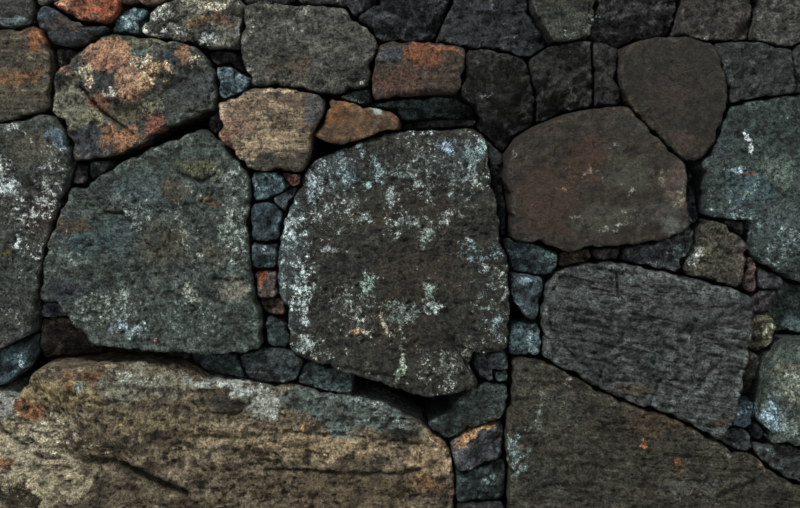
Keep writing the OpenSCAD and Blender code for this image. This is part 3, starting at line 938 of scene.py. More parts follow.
    def through_rings(self, rim: np.ndarray, edge: np.ndarray, u: np.ndarray) -> List[np.ndarray]:
        """Rings of a through stone's sides, worn in by noise and facets.

        The wear fades in over the first four rings from either face.

        Args:
            rim: Vertices of the face grid's edge.
            edge: Points of the outline in the same directions.
            u: Those directions.

        Returns:
            The rings from front to back.
        """
        count = max(6, int(2 * float(np.abs(rim[:, 1]).mean()) / (self.cell * 1.2)))
        full = edge - u * self.SIDE_CLEAR
        made: List[np.ndarray] = []
        for k in range(1, count):
            t = k / count
            y = rim[:, 1] * (1 - 2 * t)
            place = np.stack([rim[:, 0], y, rim[:, 2]], 1)
            body = fractal(place, self.SIDE_SIZE, self.seed + 5, 3, 0.55)
            worn = (0.5 + 0.5 * body) * self.SIDE_WEAR
            sides = np.stack([y, rim[:, 0] + rim[:, 2]], 1)
            worn += facets(sides, self.SIDE_FACET, self.seed + 8) * self.SIDE_FACET_DEPTH
            blend = min(1.0, min(t, 1 - t) * count / 4)
            p = rim[:, [0, 2]] * (1 - blend) + (full - u * worn[:, None]) * blend
            made.append(np.stack([p[:, 0], y, p[:, 1]], 1))
        return made

    def tail(self, z: np.ndarray) -> np.ndarray:
        """Y of the stone's tail, a set depth behind the face or on the hearting.

        Args:
            z: Heights of the tail's points.

        Returns:
            One value for each height.
        """
        if self.depth > 0:
            return -FORM.face(z) + self.front_gap + self.depth
        return -FORM.core(z)

    def join(self, grid: Face, face: np.ndarray, rings: List[np.ndarray],
             hollow: np.ndarray, inside: np.ndarray) -> Shell:
        """Joins the face grid, the bands and the tail into one closed shell.

        Args:
            grid: The face's grid.
            face: Its vertices.
            rings: Rings of the bands.
            hollow: Hollow values of the face.
            inside: Distance from the rim of the face.

        Returns:
            The closed shell with its values.
        """
        ring = grid.loop()
        n = len(ring)
        quads, points, start, last = [grid.quads()], [face], len(face), ring
        for points_of_ring in rings:
            here = np.arange(n) + start
            quads.append(np.stack([last, here, np.roll(here, -1), np.roll(last, -1)], 1))
            points.append(points_of_ring)
            start += n
            last = here
        tris = np.zeros((0, 3), int)
        if self.through:
            back = face * np.array([1, -1, 1])
            numbers = np.full(len(face), -1)
            rest = np.setdiff1d(np.arange(len(face)), ring)
            numbers[rest] = start + np.arange(len(rest))
            edge = start + len(rest) + np.arange(n)
            numbers[ring] = edge
            points += [back[rest], back[ring]]
            quads.append(numbers[quads[0][:, ::-1]])
            quads.append(np.stack([last, edge, np.roll(edge, -1), np.roll(last, -1)], 1))
        else:
            points.append(points[-1].mean(0)[None])
            tris = np.stack([np.full(n, start), np.roll(last, -1), last], 1)
        made = np.concatenate(points)
        made[:, 0] = np.clip(made[:, 0], -FORM.half_len, FORM.half_len)
        made[:, 1] = np.clip(made[:, 1], -FORM.base_half, FORM.base_half)
        made[:, 2] = np.clip(made[:, 2], 0, FORM.height)
        more = len(made) - len(face)
        deep = self.SIDE_INSIDE if self.through else 0.0
        values = self.marks(made, np.concatenate([hollow, np.zeros(more)]),
                            np.concatenate([inside, np.full(more, deep)]))
        return Shell(made, np.concatenate(quads), tris, values)


# Nodes and finish

Shade = Tuple[float, float, float, float]
Grit = Tuple[float, float, float]
Step = Tuple[float, float]


@dataclass(frozen=True)
class Link:
    """A shader socket that takes part in sums; other sockets and numbers join it."""

    tree: "Nodes"
    socket: bpy.types.NodeSocket

    def _math(self, operation: str, first: object, second: object) -> "Link":
        """Adds a Math node of that operation on two values."""
        return self.tree.add("ShaderNodeMath", {"operation": operation}, {0: first, 1: second}, 0)

    def __add__(self, other: object) -> "Link":
        """Sum with another value."""
        return self._math("ADD", self, other)

    def __radd__(self, other: object) -> "Link":
        """Sum with a value on the left."""
        return self._math("ADD", other, self)

    def __sub__(self, other: object) -> "Link":
        """Difference from another value."""
        return self._math("SUBTRACT", self, other)

    def __rsub__(self, other: object) -> "Link":
        """Difference of a value on the left."""
        return self._math("SUBTRACT", other, self)

    def __mul__(self, other: object) -> "Link":
        """Product with another value."""
        return self._math("MULTIPLY", self, other)

    def __rmul__(self, other: object) -> "Link":
        """Product with a value on the left."""
        return self._math("MULTIPLY", other, self)


class Nodes:
    """Node tree of one material, built by expressions."""

    def __init__(self, name: str) -> None:
        """Makes an empty material.

        Args:
            name: Name of the material.
        """
        self.material = bpy.data.materials.new(name)
        self.material.use_nodes = True
        self.tree = self.material.node_tree
        self.tree.nodes.clear()

    def add(self, kind: str, settings: Dict[str, object], inputs: Dict[object, object],
            output: object) -> Link:
        """Adds one node.

        Args:
            kind: Type name of the node.
            settings: Properties that are set before the inputs.
            inputs: Values or links by the socket's name or number.
            output: Name or number of the socket that is returned.

        Returns:
            The output socket, wrapped.
        """
        node = self.tree.nodes.new(kind)
        for key, value in settings.items():
            setattr(node, key, value)
        for key, value in inputs.items():
            if isinstance(value, Link):
                self.tree.links.new(value.socket, node.inputs[key])
            else:
                node.inputs[key].default_value = value
        return Link(self, node.outputs[output])

    def place(self) -> Link:
        """Place of the shaded point in the wall's own frame."""
        return self.add("ShaderNodeTexCoord", {}, {}, "Object")

    def value(self, name: str) -> Link:
        """A number stored at the vertices."""
        return self.add("ShaderNodeAttribute", {"attribute_name": name}, {}, "Fac")

    def colour(self, name: str) -> Link:
        """A colour stored at the vertices."""
        return self.add("ShaderNodeAttribute", {"attribute_name": name}, {}, "Color")

    def vector(self, x: Link, y: Link, z: Link) -> Link:
        """Three numbers as a vector."""
        return self.add("ShaderNodeCombineXYZ", {}, {"X": x, "Y": y, "Z": z}, "Vector")

    def bent(self, place: Link, first: Link, second: Link, far: float) -> Link:
        """Places moved by two noises and their difference.

        Args:
            place: The places.
            first: Noise that moves them along x.
            second: Noise that moves them along y.
            far: How far a noise of 1 moves them, in metres.

        Returns:
            The moved places.
        """
        return self.add("ShaderNodeVectorMath", {"operation": "MULTIPLY_ADD"}, {
            0: self.vector(first, second, first - second), 1: (far, far, far), 2: place}, "Vector")

    def noise(self, vector: Link, scale: float, detail: float, rough: float) -> Link:
        """Fractal noise from 0 to 1."""
        return self.add("ShaderNodeTexNoise", {}, {
            "Vector": vector, "Scale": scale, "Detail": detail, "Roughness": rough}, "Fac")

    def gap(self, vector: Link, scale: float) -> Link:
        """Distance to the nearest border between the cells of a Voronoi pattern."""
        return self.add("ShaderNodeTexVoronoi", {"feature": "DISTANCE_TO_EDGE"}, {
            "Vector": vector, "Scale": scale}, "Distance")

    def between(self, value: Link, low: float, high: float) -> Link:
        """Smooth step of a value from 0 at one level to 1 at the other."""
        return self.add("ShaderNodeMapRange", {"interpolation_type": "SMOOTHSTEP"}, {
            "Value": value, "From Min": low, "From Max": high}, "Result")

    def mix(self, factor: object, first: object, second: object, blend: str = "MIX") -> Link:
        """Mixes two colours by a factor."""
        return self.add("ShaderNodeMix", {"data_type": "RGBA", "blend_type": blend}, {
            0: factor, 6: first, 7: second}, 2)

    def shaded(self, colour: Link, level: Link) -> Link:
        """A colour times a number."""
        as_grey = self.add("ShaderNodeCombineColor", {}, {
            "Red": level, "Green": level, "Blue": level}, "Color")
        return self.mix(1.0, colour, as_grey, "MULTIPLY")

    def bump(self, strength: float, distance: float, height: Link) -> Link:
        """A normal bent by a height."""
        return self.add("ShaderNodeBump", {}, {
            "Strength": strength, "Distance": distance, "Height": height}, "Normal")

    def finish(self, inputs: Dict[object, object]) -> bpy.types.Material:
        """Adds the shader and the output.

        Args:
            inputs: Values or links of the shader's sockets.

        Returns:
            The finished material.
        """
        shader = self.add("ShaderNodeBsdfPrincipled", {}, inputs, "BSDF")
        output = self.tree.nodes.new("ShaderNodeOutputMaterial")
        self.tree.links.new(shader.socket, output.inputs["Surface"])
        return self.material


@dataclass(frozen=True)
class Noises:
    """Noises that the layers of a finish share, each from 0 to 1."""

    place: Link
    broad: Link
    middle: Link
    fine: Link
    coarse: Link
    strata: Link
    ribs: Link
    growth: Link


@dataclass(frozen=True)
class WeatheredStone:
    """Finish of natural stone: tones, bands, stains, lichen, specks, painted shade and highlights.
    """

    name: str = "weathered_stone"
    # Noises: scale for a metre, detail and roughness
    broad: Grit = (11.0, 9.0, 0.70)
    middle: Grit = (46.0, 8.0, 0.76)
    fine: Grit = (230.0, 4.0, 0.85)
    coarse: Grit = (105.0, 4.0, 0.7)
    growth: Grit = (70.0, 9.0, 0.82)
    dots: Grit = (105.0, 5.0, 0.75)
    pits: Grit = (150.0, 3.0, 0.6)
    # Noises along the layers: scale along them and across them
    strata: Step = (5.0, 75.0)
    ribs: Step = (22.0, 190.0)
    band_gain: float = 4.2
    # Steps: the level where each starts, and the level where it is full
    fine_step: Step = (0.38, 0.62)
    coarse_step: Step = (0.34, 0.66)
    tone_step: Step = (0.40, 0.62)
    light_step: Step = (0.30, 0.70)
    stain_and_shade_step: Step = (0.0, 0.8)
    crust_step: Step = (0.24, 0.50)
    core_step: Step = (0.55, 0.72)
    dot_step: Step = (0.74, 0.80)
    pit_step: Step = (0.40, 0.34)
    split_step: Step = (0.022, 0.004)
    split_where: Step = (0.50, 0.58)
    grime_and_shade_step: Step = (0.05, 0.9)
    worn_highlight_step: Step = (0.25, 0.95)
    chip_highlight_step: Step = (0.70, 0.95)
    rough_step: Step = (0.25, 0.7)
    # How much each layer covers
    stain_and_shade_cover: float = 0.85
    lichen_cover: float = 0.9
    dot_cover: float = 0.8
    pit_shade_cover: float = 0.7
    split_shade_cover: float = 0.75
    grime_and_shade_cover: float = 0.55
    worn_highlight_cover: float = 0.35
    chip_highlight_cover: float = 0.9
    # Hairline splits: cells for a metre, and how far noise bends them
    split_cells: float = 9.0
    split_bend: float = 0.11
    # Tones of the painted shade in pits and splits, and of the dirt and painted shade in hollows
    pit_shade_tone: Shade = (0.010, 0.010, 0.010, 1)
    split_shade_tone: Shade = (0.010, 0.010, 0.009, 1)
    grime_and_shade_tone: Shade = (0.018, 0.017, 0.015, 1)
    # Brightness of grain; of lichen cores; of heights and edges as wear and painted highlight
    grain_level: float = 1.88
    lighter: float = 1.6
    roughness_low: float = 0.62
    roughness_high: float = 0.95
    specular: float = 0.32
    bump: float = 0.9
    bump_height: float = 0.016

    def make(self) -> bpy.types.Material:
        """Builds the material.

        The base is two tones mixed by noise, darkened and lightened along the layers;
        stains blend softly and lichen sets in with crisp broken edges. Pits and splits are
        darkened with painted shade, hollows with dirt and painted shade, and worn heights and
        edges are lightened as wear and painted highlight.

        Returns:
            The material.
        """
        t = Nodes(self.name)
        g = self.noises(t)
        base = self.crusted(t, g, self.stained_and_shaded(t, g, self.bedded(t, g)))
        base = self.grained(t, g, base)
        pit = t.between(t.noise(g.place, *self.pits) + (g.middle - 0.5) * 0.5, *self.pit_step)
        # Pits darkened with painted shade
        base = t.mix(pit * self.pit_shade_cover * t.value("grain"), base, self.pit_shade_tone)
        split = self.splits(t, g)
        # Splits get painted shade; then hollows, heights and edges get painted shade and highlight
        base = self.wear_and_painted_light(t, g, t.mix(split * self.split_shade_cover, base, self.split_shade_tone))
        rough_range = self.roughness_high - self.roughness_low
        layers = (g.strata * 0.4 + g.ribs * 0.7) * t.value("bands")
        height = (g.middle * 1.3 + g.fine * 0.10 + layers + g.coarse * 0.30
                  + pit * -0.12 + split * -0.35)
        return t.finish({
            "Base Color": base,
            "Roughness": self.roughness_low + rough_range * t.between(g.middle, *self.rough_step),
            "Normal": t.bump(self.bump, self.bump_height, height),
            "Specular IOR Level": self.specular})

    def noises(self, t: Nodes) -> Noises:
        """Makes the noises that the layers share.

        Args:
            t: Tree of the material.

        Returns:
            The noises.
        """
        place = t.place()
        x = t.add("ShaderNodeSeparateXYZ", {}, {"Vector": place}, "X")
        y = Link(t, x.socket.node.outputs["Y"])
        layer = t.value("layer")

        def along(scales: Step, detail: float, rough: float) -> Link:
            """Noise stretched along the layers."""
            run, across = scales
            return t.noise(t.vector(x * run, y * run, layer * across), 1.0, detail, rough)

        return Noises(place, t.noise(place, *self.broad), t.noise(place, *self.middle),
                      t.between(t.noise(place, *self.fine), *self.fine_step),
                      t.between(t.noise(place, *self.coarse), *self.coarse_step),
                      along(self.strata, 6.0, 0.65), along(self.ribs, 4.0, 0.7),
                      t.noise(place, *self.growth))

    def bedded(self, t: Nodes, g: Noises) -> Link:
        """The stone's two tones, lighter and darker along its layers.

        Args:
            t: Tree of the material.
            g: Shared noises.

        Returns:
            The colour.
        """
        share_of_main = t.between(g.broad * 0.65 + g.middle * 0.35, *self.tone_step)
        base = t.mix(share_of_main, t.colour("under"), t.colour("tint"))
        light = 0.62 + 0.84 * t.between(g.middle, *self.light_step)
        bands = g.strata * 0.45 + g.ribs * 0.55 - 0.5
        return t.shaded(base, light * (1.0 + bands * t.value("bands") * self.band_gain))

    def stained_and_shaded(self, t: Nodes, g: Noises, base: Link) -> Link:
        """Lays the stains on, and the few soft patches that are painted shade.

        Args:
            t: Tree of the material.
            g: Shared noises.
            base: Colour below.

        Returns:
            The colour.
        """
        uneven = (g.broad - 0.5) * 2.4 + (g.middle - 0.5) * 2.4
        mask = t.between(t.value("stain_and_shade") * 0.8 + uneven, *self.stain_and_shade_step)
        tone_of = t.shaded(t.colour("stain_and_shade_tint"), 0.55 + 0.9 * g.middle)
        return t.mix(mask * self.stain_and_shade_cover, base, tone_of)

    def crusted(self, t: Nodes, g: Noises, base: Link) -> Link:
        """Lays the lichen crusts on, with paler middles, and specks clustered by them.

        Args:
            t: Tree of the material.
            g: Shared noises.
            base: Colour below.

        Returns:
            The colour.
        """
        near = t.value("lichen")
        edge = near * 0.46 + (g.growth - 0.5) * 3.4 + (g.broad - 0.5) * 0.8
        crust = t.between(edge, *self.crust_step)
        tone_of = t.shaded(t.colour("lichen_tint"), 0.64 + 0.56 * g.fine)
        base = t.mix(crust * self.lichen_cover, base, tone_of)
        heart = near * 0.30 + (g.growth - 0.5) * 3.0 + (g.fine - 0.5) * 0.5
        core = t.between(heart, *self.core_step)
        base = t.mix(core * crust, base, self.lightened(t, tone_of))
        cluster = (g.broad - 0.5) * 0.9 + (g.middle - 0.5) * 0.35 + near * 0.035
        peaks = t.noise(g.place, *self.dots) + cluster + t.value("speck") * 0.16
        dots = t.between(peaks, *self.dot_step)
        return t.mix(dots * self.dot_cover, base, t.colour("dot"))

    def grained(self, t: Nodes, g: Noises, base: Link) -> Link:
        """Lightens and darkens the colour by the grain of the rock.

        Args:
            t: Tree of the material.
            g: Shared noises.
            base: Colour below.

        Returns:
            The colour.
        """
        grain = (g.fine - 0.5) * 1.80 + (g.coarse - 0.5) * 1.32
        return t.shaded(base, self.grain_level + grain * t.value("grain"))

    def splits(self, t: Nodes, g: Noises) -> Link:
        """Hairline splits: borders of bent cells, where broad noise lets them show.

        Args:
            t: Tree of the material.
            g: Shared noises.

        Returns:
            The mask, 1 in the splits.
        """
        bent = t.bent(g.place, g.broad, g.middle, self.split_bend)
        gap = t.gap(bent, self.split_cells)
        return t.between(gap, *self.split_step) * t.between(g.broad, *self.split_where)

    def wear_and_painted_light(self, t: Nodes, g: Noises, base: Link) -> Link:
        """Paints shade and dirt into hollows, and highlight and wear onto heights and edges.

        Args:
            t: Tree of the material.
            g: Shared noises.
            base: Colour below.

        Returns:
            The colour.
        """
        hollow = t.value("hollow")
        # Hollows darkened as dirt and painted shade
        grime_and_shade = t.between(hollow + (g.middle - 0.5) * 0.8, *self.grime_and_shade_step)
        base = t.mix(grime_and_shade * self.grime_and_shade_cover, base, self.grime_and_shade_tone)
        # Raised places lightened as wear and painted highlight
        worn = t.between(hollow * -1.0 + (g.middle - 0.5) * 0.6, *self.worn_highlight_step)
        base = t.mix(worn * self.worn_highlight_cover, base, self.lightened(t, base))
        # The rim band lightened as wear and painted highlight
        chipped_and_highlight = t.value("edge") * t.between(g.coarse * 0.5 + g.middle, *self.chip_highlight_step)
        return t.mix(chipped_and_highlight * self.chip_highlight_cover, base, self.lightened(t, base))

    def lightened(self, t: Nodes, colour: Link) -> Link:
        """The same colour, brighter."""
        return t.mix(1.0, colour, (self.lighter, self.lighter, self.lighter, 1.0), "MULTIPLY")


@dataclass(frozen=True)
class Rubble:
    """Finish of the small broken stones packed in the wall's middle."""

    name: str = "packed_rubble"
    per_metre: float = 17.0
    chip: Grit = (60.0, 6.0, 0.7)
    bend: float = 0.02
    dark: Shade = (0.030, 0.033, 0.033, 1)
    pale: Shade = (0.085, 0.075, 0.060, 1)
    # Painted shade in the gaps between the small stones
    gap_shade_tone: Shade = (0.008, 0.008, 0.007, 1)
    roughness: float = 0.9
    bump: float = 0.9
    bump_height: float = 0.02

    def make(self) -> bpy.types.Material:
        """Builds the material: a cell for each small stone, with painted shade in the gaps between
        them.

        Returns:
            The material.
        """
        t = Nodes(self.name)
        place = t.place()
        chip = t.noise(place, *self.chip)
        bent = t.bent(place, chip, chip, self.bend)
        cell = t.add("ShaderNodeTexVoronoi", {}, {"Vector": bent, "Scale": self.per_metre}, "Color")
        own = t.add("ShaderNodeSeparateColor", {}, {"Color": cell}, "Red")
        gap = t.gap(bent, self.per_metre)
        base = t.shaded(t.mix(own, self.dark, self.pale), 0.5 + chip)
        # Gaps darkened with painted shade
        base = t.mix(t.between(gap, 0.14, 0.02), base, self.gap_shade_tone)
        height = t.between(gap, 0.0, 0.25) + chip * 0.3
        return t.finish({"Base Color": base, "Roughness": self.roughness,
                         "Normal": t.bump(self.bump, self.bump_height, height)})


# Looks by stone


def stain_and_shade(x: float, z: float, rx: float, rz: float, colour: str, strength: float = 1.0,
          turn: float = 0.0) -> Patch:
    """A soft patch whose colour fades into the stone: stains, and a few patches of painted shade.
    """
    return Patch(x, z, rx, rz, colour, strength, turn)


def lichen(x: float, z: float, rx: float, rz: float, colour: str, strength: float = 1.0,
           turn: float = 0.0) -> Patch:
    """A patch of crust with broken, crisp edges."""
    return Patch(x, z, rx, rz, colour, strength, turn, crisp=True)


# Grain; facet and its depth; layers' pitch, ledge and tilt; roughness; arris; crown;
# flake and its size; lean; rib
LAYERED = Relief(Grain.LAYERED, 150, 12, 16, 5.0, -2, 4.2, 15, 8, 3.8, 70)
RIBBED = Relief(Grain.LAYERED, 190, 7, 24, 5.5, -10, 2.6, 12, 7, 2.6, 60, 0.03, 5.4)
SMOOTH = Relief(Grain.SMOOTH, 210, 6, 26, 0.8, 4, 1.5, 8, 3, 1.4)
PITTED = Relief(Grain.MASSIVE, 200, 9, 22, 1.2, 8, 3.8, 14, 7, 2.0)
CHIPPED = Relief(Grain.MASSIVE, 95, 11, 22, 2.0, -6, 2.2, 12, 6, 4.5, 90, 0.08)
BROKEN = Relief(Grain.MASSIVE, 42, 15, 16, 2.2, 12, 1.8, 7, 3, 2.8, 34, 0.45)
STREAKED = Relief(Grain.LAYERED, 160, 4, 9, 2.2, 2, 2.0, 13, 8, 1.0)


def plain(x: float, z: float, main: str, second: str, *patches: Patch) -> StoneLook:
    """A small broken stone of two tones, lightened as painted light where it sits back in shade."""
    dress = Dress(main, second, 0.45, "8b9897", 0.35, patches, lift=1.3)
    return StoneLook(x, z, dress, BROKEN)


# Dressed stones of the front, by the middles of their outlines. A dress has its main and
# second colour, specks and their colour, bands, patches and cracks
LOOKS: List[StoneLook] = [
    # boulder_left
    StoneLook(-431, 210, Dress("776d5a", "4c4336", 0.4, "a9a18e", 0.6, (
        stain_and_shade(-735, 300, 125, 100, "9e967e", 1.2), stain_and_shade(-690, 225, 110, 50, "9a9278", 1.1),
        stain_and_shade(-792, 410, 55, 70, "8b8f88", 1.1), stain_and_shade(-770, 205, 80, 22, "26221b", 1.2),
        stain_and_shade(-690, 405, 100, 42, "8f8260", 1.1), stain_and_shade(-520, 425, 110, 40, "7b7d6e", 1.1),
        stain_and_shade(-500, 350, 150, 40, "766c54"), stain_and_shade(-350, 424, 105, 17, "a3aaa2", 1.4, -8),
        stain_and_shade(-352, 388, 55, 22, "2f3231", 1.5), stain_and_shade(-275, 382, 48, 36, "9ba197", 1.3),
        stain_and_shade(-90, 372, 180, 44, "505e5c", 1.5, -11), stain_and_shade(-120, 340, 40, 34, "6d7f7f", 1.1),
        stain_and_shade(8, 332, 52, 18, "2d332f", 1.3), stain_and_shade(-350, 318, 135, 24, "8d7e66", 1.1),
        stain_and_shade(-170, 300, 200, 28, "958469", 1.2, -3), stain_and_shade(58, 275, 62, 46, "937f64", 1.3),
        stain_and_shade(-120, 215, 240, 52, "554b39"), stain_and_shade(52, 225, 50, 24, "7d6345", 1.1),
        stain_and_shade(-600, 322, 90, 18, "51483a"), stain_and_shade(-470, 285, 120, 20, "827760"),
        stain_and_shade(-560, 215, 110, 34, "564f40", 1.1), stain_and_shade(-540, 250, 40, 14, "2c2820", 1.1),
        stain_and_shade(-740, 376, 50, 16, "8c6548", 1.3, -14), stain_and_shade(-785, 268, 46, 14, "7d5536", 1.2, -10),
        stain_and_shade(-610, 438, 50, 12, "80593e", 1.1), stain_and_shade(-672, 428, 16, 28, "8b6647", 1.0),
        lichen(-735, 374, 30, 9, "98714f", 0.8, -14), lichen(-560, 347, 24, 8, "a0805a"),
        lichen(-645, 420, 22, 12, "6f7f7c"), lichen(-700, 315, 70, 50, "b8b098", 0.75),
        lichen(-520, 440, 90, 14, "aeb3a6", 0.8), lichen(-200, 340, 9, 14, "b08848", 1.5),
        lichen(-255, 372, 14, 28, "bcc6bf", 1.2), lichen(-330, 422, 60, 8, "bcc4bc", 0.9),
        lichen(-30, 352, 60, 12, "98a19c", 0.8), lichen(-60, 392, 120, 10, "7f8a86", 0.8, -11),
        lichen(75, 318, 22, 8, "a3967f", 1.0), lichen(-620, 300, 60, 30, "a49a7c", 0.6),
        lichen(-100, 290, 120, 14, "a39176", 0.6), lichen(-760, 225, 60, 20, "b0a68c", 0.7)),
        (Crack(((-640, 272), (-580, 268), (-530, 250), (-480, 222), (-435, 205)), 20, 9, 7),
         Crack(((-272, 251), (-160, 250), (-105, 247), (-70, 240), (10, 248), (40, 252)), 11, 4, 2),
         Crack(((-800, 332), (-750, 296), (-715, 272), (-688, 276)), 9, 5, 3),
         Crack(((-668, 412), (-640, 400), (-622, 403)), 9, 4),
         Crack(((-440, 322), (-330, 318), (-230, 326)), 6, 4, 3),
         Crack(((-230, 330), (-100, 322), (40, 300)), 5, 5, 4),
         Crack(((-400, 396), (-392, 368), (-330, 362), (-305, 385)), 5, 3, 3))), LAYERED),
    # boulder_right
    StoneLook(527, 180, Dress("434137", "2d2b24", 0.36, "767d73", 0.75, (
        stain_and_shade(510, 350, 95, 40, "44392c"), stain_and_shade(585, 222, 95, 18, "4c4d46"),
        stain_and_shade(725, 268, 14, 26, "7d5f4e"), stain_and_shade(560, 270, 20, 26, "5b4a36"),
        stain_and_shade(330, 380, 60, 60, "3f4038"), stain_and_shade(290, 250, 60, 60, "383a33"),
        lichen(488, 312, 22, 11, "8c5c3a", 1.6, 35), lichen(232, 290, 26, 62, "7b8f8e", 1.0),
        lichen(336, 430, 15, 9, "8d9088"),
        lichen(548, 268, 7, 17, "8c5c3a", 1.3), lichen(572, 266, 8, 13, "4a6f86", 1.3),
        lichen(270, 340, 30, 50, "5a635d", 0.5), lichen(585, 205, 60, 10, "73786f", 0.5)),
        (Crack(((385, 312), (405, 296), (425, 272)), 5, 4),
         Crack(((640, 205), (672, 222), (712, 230)), 9, 6))),
        Relief(Grain.LAYERED, 200, 7, 12, 3.2, -5, 3.0, 14, 9)),
    # green_stone
    StoneLook(-484, 689, Dress("4e5650", "323936", 0.62, "949f97", 0.5, (
        stain_and_shade(-400, 861, 62, 22, "5a5b42", 1.3), stain_and_shade(-520, 816, 90, 50, "42504e"),
        stain_and_shade(-470, 816, 50, 30, "4d443a"), stain_and_shade(-565, 791, 18, 18, "6d7775"),
        stain_and_shade(-385, 791, 32, 12, "5c4c34"), stain_and_shade(-600, 716, 95, 50, "3d4d4e"),
        stain_and_shade(-650, 746, 60, 20, "463c30"), stain_and_shade(-340, 615, 42, 34, "6f6d62"),
        stain_and_shade(-675, 610, 60, 32, "32353a"), stain_and_shade(-480, 700, 70, 60, "464438"),
        stain_and_shade(-420, 560, 110, 40, "3d4641"), stain_and_shade(-380, 690, 40, 40, "4f4d44"),
        lichen(-530, 761, 26, 30, "8a9692", 1.1), lichen(-325, 746, 38, 95, "8d978f", 0.9),
        lichen(-430, 706, 18, 48, "8f9285", 0.9, 20), lichen(-580, 582, 72, 56, "7d887e", 0.85),
        lichen(-545, 540, 48, 24, "8c9ba0", 1.1), lichen(-420, 618, 24, 32, "8f9487", 0.9),
        lichen(-485, 514, 12, 7, "8f6a58", 1.3), lichen(-575, 866, 60, 16, "6f7568", 0.5),
        lichen(-450, 560, 90, 30, "5f6a64", 0.4), lichen(-345, 842, 16, 10, "8d9490", 0.9)),
        (Crack(((-450, 852), (-430, 842), (-398, 832), (-372, 846)), 9, 5, 5),
         Crack(((-590, 770), (-560, 766), (-545, 752)), 7, 4, 2),
         Crack(((-375, 640), (-335, 634), (-300, 642)), 5, 4))),
        Relief(Grain.MASSIVE, 190, 14, 22, 1.5, 5, 3.2, 13, 8, 3.4, 110)),
    # lichen_stone
    StoneLook(-5, 673, Dress("3a3a33", "262723", 0.64, "a9b4af", 0.45, (
        stain_and_shade(175, 475, 36, 24, "474e4e", 1.4), stain_and_shade(-225, 700, 40, 190, "414c4d"),
        stain_and_shade(-120, 850, 90, 60, "3d4443"), stain_and_shade(120, 880, 80, 50, "3a4040"),
        stain_and_shade(-60, 760, 60, 30, "3c352a"), stain_and_shade(40, 640, 110, 110, "332e26"),
        stain_and_shade(20, 530, 120, 70, "332f28"), stain_and_shade(60, 790, 80, 40, "322e27"),
        lichen(-165, 828, 42, 58, "a0b0b5", 1.0), lichen(-226, 738, 40, 62, "a9b8b8", 0.8),
        lichen(-192, 604, 24, 112, "bccccd", 0.8), lichen(-240, 650, 26, 60, "6d7d7e", 0.6),
        lichen(-192, 510, 42, 30, "9fadab", 1.1), lichen(-80, 900, 20, 24, "8fa0a4", 1.1),
        lichen(-112, 846, 24, 50, "6e8084", 1.2), lichen(-35, 848, 15, 46, "8aa0a2", 1.4, 12),
        lichen(20, 862, 150, 50, "73807d", 0.6), lichen(60, 820, 40, 40, "87938f", 0.7),
        lichen(-65, 826, 16, 14, "87a3a0", 1.2), lichen(95, 900, 30, 20, "8296a4", 1.0),
        lichen(150, 894, 28, 46, "6f8584", 1.2), lichen(145, 850, 15, 34, "7d9393", 1.3),
        lichen(-10, 800, 15, 12, "96a09c", 1.1), lichen(-70, 762, 22, 22, "8ba09a", 1.1),
        lichen(10, 752, 48, 28, "6d7570", 0.8), lichen(50, 727, 20, 26, "8d9a93", 1.0),
        lichen(100, 762, 24, 14, "a0a29e", 1.0, 20), lichen(-145, 692, 26, 20, "99a1a0", 1.0),
        lichen(160, 692, 52, 24, "7f9399", 0.9), lichen(-70, 626, 25, 34, "8fa59a", 1.1),
        lichen(10, 570, 54, 26, "6f8078", 1.0), lichen(70, 575, 22, 15, "b4c6c0", 1.7),
        lichen(60, 606, 20, 26, "7b8c80", 1.1), lichen(195, 556, 30, 26, "75888a", 1.0),
        lichen(-32, 552, 11, 46, "97907a", 1.1, 18), lichen(2, 476, 9, 52, "9fae9c", 1.2, -6),
        lichen(160, 590, 36, 12, "7a8a80", 1.0), lichen(-80, 535, 20, 8, "a07e5c", 1.4, -20),
        lichen(110, 480, 70, 40, "8a8f84", 0.5), lichen(-110, 590, 60, 60, "7d827a", 0.4),
        lichen(-130, 780, 60, 50, "8b9692", 0.5), lichen(110, 830, 60, 50, "7f8d8a", 0.5),
        lichen(190, 640, 40, 90, "8d9993", 0.5), lichen(30, 880, 60, 30, "7c8783", 0.45)),
        (Crack(((120, 502), (150, 496), (205, 498)), 6, 4, 3),
         Crack(((-150, 470), (-60, 452), (20, 440)), 4, 4))), PITTED),
    # brown_stone
    StoneLook(392, 828, Dress("38332c", "29241f", 0.25, "85897f", 0.3, (
        stain_and_shade(298, 796, 75, 85, "3c3026", 1.2), stain_and_shade(360, 880, 52, 60, "403229", 1.1),
        stain_and_shade(460, 850, 62, 50, "3f3f36"), stain_and_shade(556, 816, 32, 80, "50463f", 1.2),
        stain_and_shade(530, 768, 62, 40, "464541"), stain_and_shade(540, 742, 45, 20, "545753"),
        stain_and_shade(400, 760, 90, 30, "44443b"), stain_and_shade(480, 940, 70, 30, "33312b"),
        lichen(370, 846, 30, 5, "7d6f60", 1.0, 8), lichen(560, 800, 30, 34, "6f6a5c", 0.7),
        lichen(330, 812, 34, 6, "77604f", 0.9, -20), lichen(420, 742, 30, 8, "80847a", 0.9, 6),
        lichen(590, 760, 24, 26, "6d7a74", 0.8), lichen(460, 812, 13, 10, "8a9088", 0.9),
        lichen(350, 770, 18, 13, "75756e", 0.7),
        lichen(436, 898, 18, 13, "666d63", 0.7), lichen(525, 832, 26, 24, "5f5c50", 0.9),
        lichen(470, 760, 60, 20, "646860", 0.4)),
        (Crack(((290, 870), (330, 866), (372, 868)), 1.5, 2),
         Crack(((500, 840), (520, 818), (545, 815)), 2.5, 3, 1.5))), SMOOTH),
    # ribbed_stone
    StoneLook(507, 515, Dress("4f5452", "2f3332", 0.37, "858d8b", 1.1, (
        stain_and_shade(470, 410, 62, 17, "4d473d", 1.2), stain_and_shade(650, 352, 42, 14, "4a423b"),
